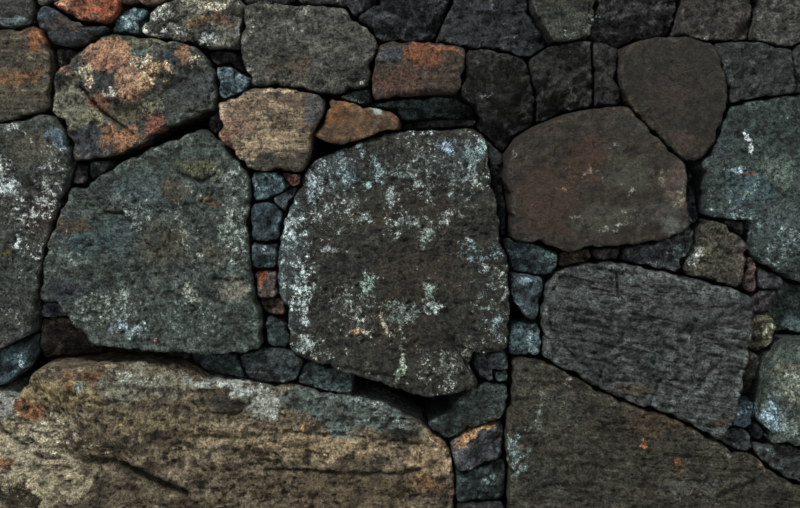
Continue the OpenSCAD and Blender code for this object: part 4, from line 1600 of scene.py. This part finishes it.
        stain_and_shade(495, 476, 24, 16, "485a58", 0.8), stain_and_shade(560, 560, 120, 40, "414645"),
        stain_and_shade(390, 470, 50, 50, "343837"), stain_and_shade(640, 590, 50, 25, "464b4a")),
        (Crack(((433, 652), (436, 630), (437, 604)), 5, 3, 4),
         Crack(((645, 474), (622, 452), (600, 424)), 5, 3),
         Crack(((520, 432), (512, 412), (503, 394)), 6, 4, 5),
         Crack(((322, 640), (298, 604), (300, 540), (350, 478), (412, 432), (515, 428)), 4, 4, 6),
         Crack(((560, 640), (620, 618), (690, 604)), 4, 3, 2))), RIBBED),
    # tall_stone_left
    StoneLook(-825, 730, Dress("454842", "2f332f", 0.75, "b3bbb7", 0.5, (
        stain_and_shade(-740, 896, 62, 40, "504d41"), stain_and_shade(-690, 916, 26, 26, "566a73", 1.1),
        stain_and_shade(-760, 640, 60, 60, "3b413d"), stain_and_shade(-720, 760, 40, 50, "403a34"),
        stain_and_shade(-790, 690, 16, 10, "7a6536"),
        lichen(-785, 826, 28, 30, "a9b4b6", 1.3), lichen(-790, 858, 32, 20, "9a9f98", 1.0),
        lichen(-770, 936, 26, 11, "8c9090", 1.1), lichen(-700, 866, 32, 26, "7a817c", 0.8),
        lichen(-705, 820, 20, 26, "8d9289", 0.8), lichen(-775, 772, 42, 30, "70756c", 0.6),
        lichen(-770, 716, 11, 20, "b0b8bd", 1.4), lichen(-740, 655, 50, 40, "6c736c", 0.5),
        lichen(-785, 590, 40, 30, "6c736c", 0.5))),
        Relief(Grain.MASSIVE, 170, 11, 22, 1.8, 6, 3.6, 12, 8, 3.0, 90)),
    # tall_stone_right
    StoneLook(804, 820, Dress("44514d", "2b3331", 0.57, "a3b4af", 0.5, (
        stain_and_shade(710, 816, 62, 52, "44565a", 1.1), stain_and_shade(760, 848, 52, 40, "59665f"),
        stain_and_shade(760, 746, 62, 62, "4d5a5a"), stain_and_shade(680, 940, 40, 50, "2b3433"),
        stain_and_shade(640, 900, 30, 60, "323b3b"),
        lichen(700, 911, 9, 22, "bcc6ca", 1.5), lichen(690, 757, 52, 38, "75878a", 1.0),
        lichen(680, 852, 24, 14, "93a8b0", 1.0), lichen(710, 838, 18, 8, "7b4338", 1.2),
        lichen(690, 812, 40, 6, "8a9a90", 0.9, 12), lichen(770, 700, 40, 40, "6f7f7c", 0.7))),
        Relief(Grain.MASSIVE, 180, 11, 22, 1.4, 8, 2.8, 12, 8, 3.0, 90)),
    # rust_stone
    StoneLook(-545, 1009, Dress("4c4b43", "343632", 0.2, "a9a590", 0.35, (
        stain_and_shade(-578, 1094, 66, 26, "a17d61", 1.4), stain_and_shade(-580, 1072, 62, 34, "957059", 1.3),
        stain_and_shade(-540, 1026, 34, 46, "a07f66", 1.2), stain_and_shade(-672, 1061, 20, 26, "8a6450"),
        stain_and_shade(-645, 1062, 17, 14, "2f3c44", 1.5), stain_and_shade(-600, 1026, 30, 22, "33393c", 1.5),
        stain_and_shade(-465, 1071, 20, 24, "2f3b43", 1.6), stain_and_shade(-520, 1099, 22, 10, "5e7468", 1.4),
        stain_and_shade(-655, 981, 56, 56, "6c6c5c", 1.4), stain_and_shade(-625, 958, 42, 28, "76765f", 1.3),
        stain_and_shade(-570, 916, 62, 25, "936c4e", 1.4), stain_and_shade(-490, 952, 22, 30, "7d5142", 1.4),
        stain_and_shade(-630, 911, 46, 34, "3b4044", 1.4), stain_and_shade(-550, 968, 62, 28, "5a5440", 1.1),
        stain_and_shade(-420, 1031, 62, 60, "3a403f", 1.4), stain_and_shade(-450, 981, 62, 36, "3b3f3d", 1.3),
        stain_and_shade(-450, 938, 64, 12, "4a2d26", 1.5), stain_and_shade(-430, 1083, 24, 18, "8a6a50", 1.5),
        stain_and_shade(-500, 1112, 90, 9, "5b5a48"), stain_and_shade(-600, 990, 24, 30, "6e4f40", 1.0),
        lichen(-520, 1078, 22, 16, "b8ab92", 1.3), lichen(-490, 1052, 36, 24, "b69c7a", 1.5),
        lichen(-635, 1051, 28, 26, "a29c82", 1.2), lichen(-624, 1026, 13, 20, "b0a088", 1.3),
        lichen(-584, 1012, 20, 13, "bab6aa", 1.2), lichen(-510, 1021, 17, 22, "ac9070", 1.1),
        lichen(-405, 1076, 13, 11, "b0a890", 1.4), lichen(-530, 905, 22, 9, "967550", 1.2),
        lichen(-500, 985, 30, 22, "77755f", 0.9)),
        (Crack(((-642, 1022), (-620, 992), (-596, 966), (-566, 946), (-538, 925)), 11, 4, 6),
         Crack(((-480, 1088), (-448, 1064), (-440, 1040), (-480, 1010)), 3, 3, 3),
         Crack(((-372, 1040), (-384, 1000), (-390, 972)), 3, 3, 3))), CHIPPED),
    # tan_stone
    StoneLook(-258, 940, Dress("7f715d", "574e41", 0.3, "ab9e88", 1.4, (
        # The long dark band along the lower edge, (-235, 866), is painted shade.
        stain_and_shade(-165, 982, 30, 34, "3d4446", 1.5), stain_and_shade(-235, 866, 125, 20, "2b2d2a", 2.0),
        stain_and_shade(-350, 918, 22, 34, "5c4436", 1.2), stain_and_shade(-315, 946, 42, 30, "7e6757"),
        stain_and_shade(-225, 916, 62, 18, "8f8068"), stain_and_shade(-220, 998, 64, 13, "54483c", 1.2),
        stain_and_shade(-190, 930, 24, 34, "6a5c4b"), stain_and_shade(-300, 985, 50, 14, "6a5a4a"))), STREAKED),
    # orange_wedge
    StoneLook(-92, 950, Dress("66513b", "48392c", 0.15, "8d8474", 0.3, (
        stain_and_shade(-125, 968, 32, 26, "74502f", 1.2), stain_and_shade(-45, 976, 13, 26, "7d8a86", 1.9),
        stain_and_shade(-95, 950, 42, 20, "68503a"), stain_and_shade(-14, 951, 20, 14, "76503a"),
        stain_and_shade(-50, 944, 20, 9, "5b564e", 1.2), stain_and_shade(-130, 912, 40, 8, "3d322a", 1.2))), SMOOTH),
    # wedge_stone
    StoneLook(557, 1012, Dress("322f28", "24221d", 0.2, "5d5a50", 0.1, (
        stain_and_shade(572, 916, 42, 30, "463a32"), stain_and_shade(545, 996, 60, 60, "362f2a"),
        # The dark patch at the top right, (600, 1080), is painted shadow.
        stain_and_shade(600, 1080, 60, 40, "2b2824"))), SMOOTH),
    # top_dark_stone
    StoneLook(-188, 1099, Dress("52534c", "363732", 0.5, "989a92", 0.4, (
        # The dark patch at the lower right, (-90, 1050), is painted shade.
        stain_and_shade(-225, 1062, 66, 22, "4c4238", 1.2), stain_and_shade(-90, 1050, 50, 30, "2f302c"),
        stain_and_shade(-230, 1130, 60, 30, "50514d"), stain_and_shade(-120, 1150, 50, 30, "44463f"))),
        Relief(Grain.MASSIVE, 120, 8, 18, 2.4, -8, 3.4, 12, 8, 2.5, 70)),
    # top_rust_stone
    StoneLook(34, 1056, Dress("463a31", "312a25", 0.15, "66625a", 0.35, (
        stain_and_shade(50, 1086, 62, 25, "6e452f", 1.3), stain_and_shade(-8, 1030, 62, 25, "513c32", 1.1),
        stain_and_shade(-22, 1086, 24, 30, "3c4246", 1.2), stain_and_shade(110, 1040, 30, 40, "3b342c"))), STREAKED),
    # mottled_stone
    StoneLook(-407, 1156, Dress("69695f", "3a3a34", 0.62, "bcbeb6", 0.3, (
        stain_and_shade(-355, 1156, 32, 20, "5d4735", 1.2), stain_and_shade(-410, 1152, 32, 13, "6e5a3c"),
        stain_and_shade(-470, 1150, 34, 14, "2c2c2b", 1.2), stain_and_shade(-400, 1128, 60, 8, "2a2a29"),
        lichen(-482, 1172, 36, 22, "83857f", 1.3), lichen(-370, 1182, 42, 18, "b0aa92", 1.3),
        lichen(-450, 1134, 32, 11, "bcc0bc", 1.5), lichen(-385, 1116, 32, 14, "b4babc", 1.5),
        lichen(-518, 1141, 14, 10, "9a9a90", 1.1), lichen(-325, 1132, 13, 20, "7e8284", 1.1),
        lichen(-410, 1190, 40, 12, "938f80", 1.2))), CHIPPED),
    # left_upper_stone
    StoneLook(-834, 1043, Dress("544e41", "39352c", 0.2, "80786a", 1.0, (
        stain_and_shade(-730, 1118, 30, 28, "7f5438", 1.4), stain_and_shade(-770, 1046, 52, 14, "6e5238", 1.2),
        # The two dark patches along the lower side are painted shade.
        stain_and_shade(-780, 992, 64, 14, "3f3f38"), stain_and_shade(-760, 960, 60, 16, "33342f"))), STREAKED),
    # triangle_stone
    StoneLook(641, 684, Dress("4b4a3f", "2c2e29", 0.35, "9a9c90", 0.2, (
        stain_and_shade(622, 672, 30, 24, "5b594a"), stain_and_shade(682, 672, 20, 50, "4c4440", 1.2),
        stain_and_shade(650, 632, 50, 14, "2c2b26"),
        lichen(594, 688, 16, 30, "aeb2aa", 1.3))), CHIPPED),
    # corner_stone_right
    StoneLook(917, 395, Dress("525b53", "3a433d", 0.5, "8f9a92", 0.45, (
        stain_and_shade(770, 462, 52, 13, "57564a", 1.2),
        lichen(742, 362, 30, 42, "86a0ac", 1.2), lichen(776, 420, 52, 50, "7b8072", 0.9),
        lichen(790, 350, 40, 40, "76837f", 0.8))), PITTED),
    # dark_block
    StoneLook(146, 368, Dress("4b5753", "2f3735", 0.35, "7d8885", 0.5, (
        stain_and_shade(172, 384, 42, 20, "404c4a", 1.2), stain_and_shade(100, 350, 24, 30, "2a302f"),
        lichen(186, 360, 18, 4, "74432f", 1.3, 8))), CHIPPED),
    # blue_slab
    StoneLook(-672, 1139, Dress("383b3d", "272a2c", 0.15, "66706f", 0.8, (
        stain_and_shade(-700, 1166, 42, 13, "40505a", 1.3), stain_and_shade(-675, 1141, 60, 14, "453a34", 1.1),
        stain_and_shade(-640, 1118, 60, 10, "2a2a29"))), STREAKED),
    # red_stone
    StoneLook(-624, 1185, Dress("7c503a", "5b3d2f", 0.1, "b08a70", 0.3, (
        stain_and_shade(-592, 1172, 42, 20, "92543c", 1.3), stain_and_shade(-612, 1161, 13, 7, "4a4a48", 1.5),
        stain_and_shade(-690, 1200, 34, 12, "a57f64", 1.2))), CHIPPED),
    # top_left_stone
    StoneLook(-849, 1209, Dress("3f413e", "2c2d2a", 0.25, "7b8484", 0.6, (
        stain_and_shade(-775, 1152, 66, 11, "5f6e70", 1.8),)), STREAKED),
    # Smaller stones, pins and chips
    plain(163, 90, "2c2f2d", "1f2120"),
    plain(169, 219, "35413f", "222a2a", lichen(180, 228, 26, 20, "869a9a", 1.1)),
    plain(161, 295, "474a4b", "333637", stain_and_shade(205, 290, 10, 40, "56686c", 1.2),
          stain_and_shade(152, 328, 46, 13, "b58e62", 2.4, 20)),
    plain(182, 465, "434a4b", "2e3435"),
    plain(207, 439, "43524f", "2f3a39"),
    plain(-151, 435, "43514f", "2d3837"),
    plain(-260, 459, "343c3c", "252b2b", lichen(-285, 440, 20, 10, "7a7c7c", 1.1)),
    plain(-371, 461, "2f3a3b", "212a2b"),
    plain(-529, 483, "222423", "191a1a"),
    plain(-706, 570, "3d4045", "2a2c30"),
    plain(-687, 505, "38332e", "272420", stain_and_shade(-690, 546, 52, 9, "5f5648", 1.3)),
    plain(-818, 454, "3c4d51", "2a363a", lichen(-770, 458, 14, 30, "93a9b2", 1.2)),
    plain(-994, 389, "3f423f", "2c2f2d"),
    plain(-1017, 889, "454239", "302e29"),
    plain(-683, 1084, "3c3a36", "292826", lichen(-695, 1076, 10, 13, "868879", 1.3)),
    plain(-375, 951, "34383b", "25282a"),
    plain(-616, 856, "3c3f40", "2a2c2d"),
    plain(-650, 845, "302e30", "222122"),
    plain(-269, 824, "576c70", "3c4b50", lichen(-262, 824, 34, 28, "8199a0", 1.0),
          lichen(-297, 836, 5, 20, "bac2c6", 1.6)),
    plain(-218, 837, "6c4d46", "4a3733"),
    plain(-232, 798, "40464a", "2b3033"),
    plain(-272, 750, "37444a", "262f33"),
    plain(-274, 682, "384346", "262e30", lichen(-277, 690, 10, 9, "b6bec6", 1.4)),
    plain(-271, 625, "4b443f", "342f2c", stain_and_shade(-276, 638, 11, 18, "8d4f32", 1.5)),
    plain(-258, 578, "4a3f39", "332c29", stain_and_shade(-242, 577, 12, 12, "7c4a38", 1.2)),
    plain(-250, 528, "313a3a", "222929"),
    plain(253, 513, "4f6063", "35434a", lichen(268, 512, 20, 30, "829aa0", 1.0)),
    plain(259, 603, "3b464a", "2b3336", stain_and_shade(248, 628, 26, 13, "6d828a", 1.6)),
    plain(265, 676, "434f51", "2e383a", stain_and_shade(290, 682, 30, 12, "586c6e")),
    plain(356, 678, "4b4337", "342f27"),
    plain(419, 687, "3d3836", "2a2726"),
    plain(530, 690, "363a3c", "262a2b", lichen(570, 700, 24, 20, "5d6e70", 0.8)),
    plain(682, 739, "3c3f3e", "2a2c2b"),
    plain(595, 806, "404b4d", "2c3536", lichen(588, 745, 6, 26, "a5b0b0", 1.3)),
    plain(202, 821, "2b2e2f", "1d1f20"),
    plain(684, 310, "3b4141", "292e2e"),
    plain(848, 252, "3e4443", "2b302f"),
    plain(725, 324, "24292b", "1a1d1f"),
    plain(696, 361, "465961", "303e45", lichen(700, 368, 22, 22, "93a9b5", 1.2)),
    plain(711, 438, "41423e", "2d2e2b"),
    plain(734, 522, "5b584a", "3d3b32", lichen(742, 530, 18, 24, "a2a28e", 1.1)),
    plain(739, 586, "413e3f", "2c2a2b"),
    plain(710, 639, "5c4c4a", "3e3433"),
    plain(748, 634, "3e4142", "2a2c2d"),
    plain(858, 565, "44514f", "2e3836"),
    plain(1017, 889, "45474a", "303234"),
    plain(205, 1007, "2d2d2c", "1e1e1d"),
    plain(333, 1038, "2e302d", "1f211f"),
    plain(417, 1048, "2c2c2a", "1e1e1d"),
    plain(79, 948, "282828", "1c1c1c"),
    plain(59, 981, "35413f", "252e2d"),
    plain(-85, 1003, "5e6866", "424947"),
    plain(-341, 1031, "55666b", "3a484d"),
    plain(-350, 1078, "2d2e2d", "1f2020"),
    plain(-548, 1157, "4a6165", "314145", lichen(-545, 1160, 32, 22, "8ca7aa", 1.1)),
    plain(-665, 1243, "45413b", "302d29"), plain(-494, 1237, "4a3f37", "332b26"),
    plain(-294, 1240, "3f4241", "2b2e2d"), plain(-120, 1230, "38393b", "26282a"),
    plain(21, 1197, "37393b", "25282a"), plain(189, 1180, "2c2e30", "1e2021"),
    plain(336, 1204, "33352f", "232520"), plain(484, 1197, "393b3a", "272928"),
    plain(655, 1199, "3d3a36", "2a2825"), plain(722, 1057, "2f3332", "202323"),
    plain(885, 1073, "3a4140", "282d2c"), plain(841, 1202, "40413c", "2c2d29"),
]
# The rest of the wall draws from these
PLAIN_DRESSES = (
    Dress("454644", "2f3130", 0.35),
    Dress("3d4543", "2a302f", 0.45, "93a09b"),
    Dress("4b4139", "332e2a", 0.25, "8d8378"),
    Dress("3a3c3e", "282a2c", 0.30),
    Dress("504a3f", "38342d", 0.35, "9a9584"),
)


# Pieces of the wall


@dataclass
class StonePiece:
    """All stones of one CAD node, as one object."""

    node: str
    slot: str
    material: bpy.types.Material
    turned: bool = False
    through: bool = False
    # Cells of the stones that the photo shows, and of the rest
    fine: float = 3.9 * MM
    plain: float = 13.5 * MM
    # Half the length of the stretch that gets fine cells, in millimetres
    fine_reach: float = 900.0
    # A stone takes the nearest look that is not further off than this, in millimetres
    look_reach: float = 45.0
    # Solids thinner than this are pins, with tails of this depth
    pin: float = 0.2
    pin_tail: float = 0.12
    # How far the front plane stands behind the solid's, and how far it may stand out
    front_clear: float = 2 * MM
    front_reach: float = -0.05

    def solids(self) -> List[Tuple[np.ndarray, np.ndarray]]:
        """Splits the node's mesh into its separate solids.

        Vertices at one place are joined, then each takes the lowest number that it
        can reach through its faces, until nothing changes.

        Returns:
            Vertices and faces of each solid.
        """
        mesh = frame["nodes"][self.node].data
        co = np.empty(len(mesh.vertices) * 3)
        mesh.vertices.foreach_get("co", co)
        mesh.calc_loop_triangles()
        tri = np.empty(len(mesh.loop_triangles) * 3, int)
        mesh.loop_triangles.foreach_get("vertices", tri)
        places = np.round(co.reshape(-1, 3), 6)
        spots, spot_of = np.unique(places, axis=0, return_inverse=True)
        tri = spot_of.ravel()[tri].reshape(-1, 3)
        label = np.arange(len(spots))
        while True:
            least = label[tri].min(1)
            new = label.copy()
            for k in range(3):
                np.minimum.at(new, tri[:, k], least)
            if np.array_equal(new, label):
                break
            label = new
        made = []
        for value in np.unique(label[tri[:, 0]]):
            faces = tri[label[tri[:, 0]] == value]
            used, renumbered = np.unique(faces, return_inverse=True)
            made.append((spots[used], renumbered.reshape(-1, 3)))
        return made

    def look_for(self, x: float, z: float, seed: int) -> StoneLook:
        """The look nearest to a place, or a plain one with seeded marks.

        Args:
            x: Place of the stone's middle along the wall, in millimetres.
            z: Its height, in millimetres.
            seed: Number of the stone.

        Returns:
            The look.
        """
        if not self.turned and not self.through:
            best = min(LOOKS, key=lambda look: look.away(x, z))
            if best.away(x, z) < self.look_reach:
                return best
        dress = PLAIN_DRESSES[seed % len(PLAIN_DRESSES)]
        relief = Relief(facet=110 + seed % 5 * 15, ledge=2.0 + seed % 3, pitch=20 + seed % 4 * 6,
                        tilt=(seed * 7) % 25 - 12.0)
        return StoneLook(x, z, replace(dress, patches=self.scatter(x, z, seed)), relief)

    @staticmethod
    def scatter(x: float, z: float, seed: int) -> Tuple[Patch, ...]:
        """Seeded stains and lichen patches round a stone's middle.

        Args:
            x: Place of the stone's middle along the wall, in millimetres.
            z: Its height, in millimetres.
            seed: Number of the stone.

        Returns:
            Seven patches, every other one a crust.
        """
        spread_x, spread_z, least_rx, more_rx, least_rz, more_rz = 360, 300, 20, 70, 14, 40
        colours = ("7c8a86", "4a3d31", "8f978f", "33373a", "6c705f", "54493a", "93a2a0")
        count = np.arange(len(colours))
        draws = [share(count, count * 0, count * 0, seed + k).tolist() for k in range(301, 305)]
        return tuple(
            Patch(x + (a - 0.5) * spread_x, z + (b - 0.5) * spread_z, least_rx + more_rx * c,
                  least_rz + more_rz * d, colours[k], 0.7, 0.0, k % 2 == 0)
            for k, (a, b, c, d) in enumerate(zip(*draws)))

    def stone(self, points: np.ndarray, faces: np.ndarray) -> Stone:
        """Sets up one stone from its solid.

        Args:
            points: Vertices of the solid, turned to the front.
            faces: Triangles of the solid.

        Returns:
            The stone.
        """
        outline = Outline.of_solid(points, faces)
        x, z = (float(v) for v in outline.centre / MM)
        seed = int(abs(x) * 7 + abs(z) * 13 + (500 if self.turned else 0) + (900 if x < 0 else 0))
        gap = points[:, 1] + FORM.face(np.minimum(points[:, 2], FORM.body_h))
        thick = float(points[:, 1].max() - points[:, 1].min())
        tail = self.pin_tail if thick < self.pin and not self.through else 0.0
        seen = not self.turned and not self.through and abs(x) < self.fine_reach
        return Stone(outline, max(float(gap.min()) + self.front_clear, self.front_reach), tail,
                     self.look_for(x, z, seed), seed, self.fine if seen else self.plain,
                     self.through)

    def build(self) -> bpy.types.Object:
        """Builds every stone of the node and joins them into one object.

        Returns:
            The object, which rides on the root body.
        """
        flip = np.array([-1.0, -1.0, 1.0]) if self.turned else np.ones(3)
        shells = [self.stone(points * flip, faces).build() for points, faces in self.solids()]
        mesh = self.mesh_of(shells, flip)
        self.write_values(mesh, shells)
        mesh.materials.append(self.material)
        piece = bpy.data.objects.new(mesh.name, mesh)
        bpy.context.scene.collection.objects.link(piece)
        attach(piece, "root")
        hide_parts(self.node)
        triangles = sum(2 * len(s.quads) + len(s.tris) for s in shells)
        LOG.info("%s: %d stones, %d triangles", self.node, len(shells), triangles)
        return piece

    def mesh_of(self, shells: List[Shell], flip: np.ndarray) -> bpy.types.Mesh:
        """Puts the shells into one smooth mesh.

        Args:
            shells: Meshes of the stones.
            flip: Factors that turn them back to their own face of the wall.

        Returns:
            The mesh.
        """
        starts = np.cumsum([0] + [len(s.points) for s in shells])
        points = np.concatenate([s.points for s in shells]) * flip
        quads = np.concatenate([s.quads + k for s, k in zip(shells, starts)])
        tris = np.concatenate([s.tris + k for s, k in zip(shells, starts)])
        corners = np.concatenate([quads.ravel(), tris.ravel()])
        first = np.concatenate([np.arange(len(quads)) * 4, quads.size + np.arange(len(tris)) * 3])
        mesh = bpy.data.meshes.new(self.node + "_stones")
        mesh.vertices.add(len(points))
        mesh.vertices.foreach_set("co", points.astype(np.float32).ravel())
        mesh.loops.add(len(corners))
        mesh.loops.foreach_set("vertex_index", corners.astype(np.int32))
        mesh.polygons.add(len(first))
        mesh.polygons.foreach_set("loop_start", first.astype(np.int32))
        mesh.polygons.foreach_set("use_smooth", np.ones(len(first), bool))
        mesh.update(calc_edges=True)
        return mesh

    @staticmethod
    def write_values(mesh: bpy.types.Mesh, shells: List[Shell]) -> None:
        """Stores the shells' values at the mesh's vertices, colours with full alpha.

        Args:
            mesh: The mesh.
            shells: Meshes of the stones, in the mesh's order.
        """
        for name in shells[0].values:
            data = np.concatenate([s.values[name] for s in shells])
            if data.ndim == 2:
                data = np.concatenate([data, np.ones((len(data), 1))], 1)
                made = mesh.attributes.new(name, "FLOAT_COLOR", "POINT")
                made.data.foreach_set("color", data.astype(np.float32).ravel())
            else:
                made = mesh.attributes.new(name, "FLOAT", "POINT")
                made.data.foreach_set("value", data.astype(np.float32))


# Setting


@dataclass(frozen=True)
class Lamp:
    """A round soft lamp: its place and size in metres, and its power in watts."""

    name: str
    place: Tuple[float, float, float]
    size: float
    power: float

    def build(self, aim: Vector) -> None:
        """Hangs the lamp up.

        Args:
            aim: Place that it points at.
        """
        lamp = bpy.data.lights.new(self.name, "AREA")
        lamp.shape, lamp.size, lamp.energy = "DISK", self.size, self.power
        holder = bpy.data.objects.new(self.name, lamp)
        holder.location = self.place
        holder.rotation_euler = (aim - Vector(self.place)).to_track_quat("-Z", "Y").to_euler()
        bpy.context.scene.collection.objects.link(holder)


@dataclass
class Setting:
    """Floor, lamps, world and camera."""

    # Millimetres of the wall for each pixel of the photo, which is as large as the frame
    scale: float = 2.0 * MM
    frame_px: Tuple[int, int] = (800, 508)
    look_z: float = 0.688
    lens: float = 50.0
    sensor: float = 36.0
    floor_half: float = 12.0
    floor_tone: Shade = (0.62, 0.61, 0.59, 1)
    world_tone: Shade = (0.95, 1.0, 0.97, 1)
    world_level: float = 0.32
    aim: Tuple[float, float, float] = (0, 0, 0.7)
    lamps: Tuple[Lamp, ...] = (
        Lamp("key", (-1.6, -2.5, 4.9), 1.3, 228.0),
        Lamp("fill", (3.4, -2.6, 2.6), 3.0, 38.0),
        Lamp("back", (1.5, 4.2, 3.6), 3.2, 125.0),
    )

    def build(self) -> None:
        """Makes the floor, the lamps, the world and the camera."""
        self.floor()
        for lamp in self.lamps:
            lamp.build(Vector(self.aim))
        self.world()
        self.camera()

    def floor(self) -> None:
        """Lays a pale floor under the wall: a flat square."""
        mesh = bpy.data.meshes.new("floor")
        s = self.floor_half
        mesh.from_pydata([(-s, -s, 0), (s, -s, 0), (s, s, 0), (-s, s, 0)], [], [(0, 1, 2, 3)])
        mesh.materials.append(Nodes("pale_floor").finish({
            "Base Color": self.floor_tone, "Roughness": 0.9}))
        floor = bpy.data.objects.new("floor", mesh)
        bpy.context.scene.collection.objects.link(floor)

    def world(self) -> None:
        """Makes a pale world, seen without a film look."""
        world = bpy.data.worlds.new("studio")
        world.use_nodes = True
        inputs = world.node_tree.nodes["Background"].inputs
        inputs["Color"].default_value = self.world_tone
        inputs["Strength"].default_value = self.world_level
        bpy.context.scene.world = world
        bpy.context.scene.view_settings.view_transform = "Standard"

    def camera(self) -> None:
        """Sets a camera square to the leaning face, so far off that a pixel is 2 mm."""
        lean = math.atan((FORM.base_half - FORM.top_half) / FORM.body_h)
        width = self.frame_px[0] * self.scale
        away = width * self.lens / self.sensor
        normal = Vector((0, -math.cos(lean), math.sin(lean)))
        target = Vector((0, -float(FORM.face(np.array(self.look_z))), self.look_z))
        data = bpy.data.cameras.new("camera")
        data.lens, data.sensor_width = self.lens, self.sensor
        camera = bpy.data.objects.new("camera", data)
        camera.location = target + normal * away
        camera.rotation_euler = (-normal).to_track_quat("-Z", "Y").to_euler()
        bpy.context.scene.collection.objects.link(camera)
        bpy.context.scene.camera = camera


# The whole


@dataclass
class DryStoneWall:
    """The whole wall: faces, heads, hearting and cope."""

    stone: WeatheredStone = WeatheredStone()
    rubble: Rubble = Rubble()
    rubble_node: str = "hearting"

    def build(self) -> None:
        """Builds one piece for each node but the hearting, which keeps its solid."""
        stone, rubble = self.stone.make(), self.rubble.make()
        slots = {row["node"]: row["material_slot"] for row in frame["record"]["subparts"]}
        for node in sorted(frame["nodes"]):
            if node == self.rubble_node:
                for place in frame["nodes"][node].material_slots:
                    place.material = rubble
            else:
                StonePiece(node, slots[node], stone, turned=node.startswith("back_"),
                           through="head" in node or node == "cope_stones").build()


def main() -> None:
    """Builds the wall and its setting in order."""
    logging.basicConfig(level=logging.INFO, format="%(message)s")
    DryStoneWall().build()
    Setting().build()
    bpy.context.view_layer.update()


if __name__ == "__main__":
    main()
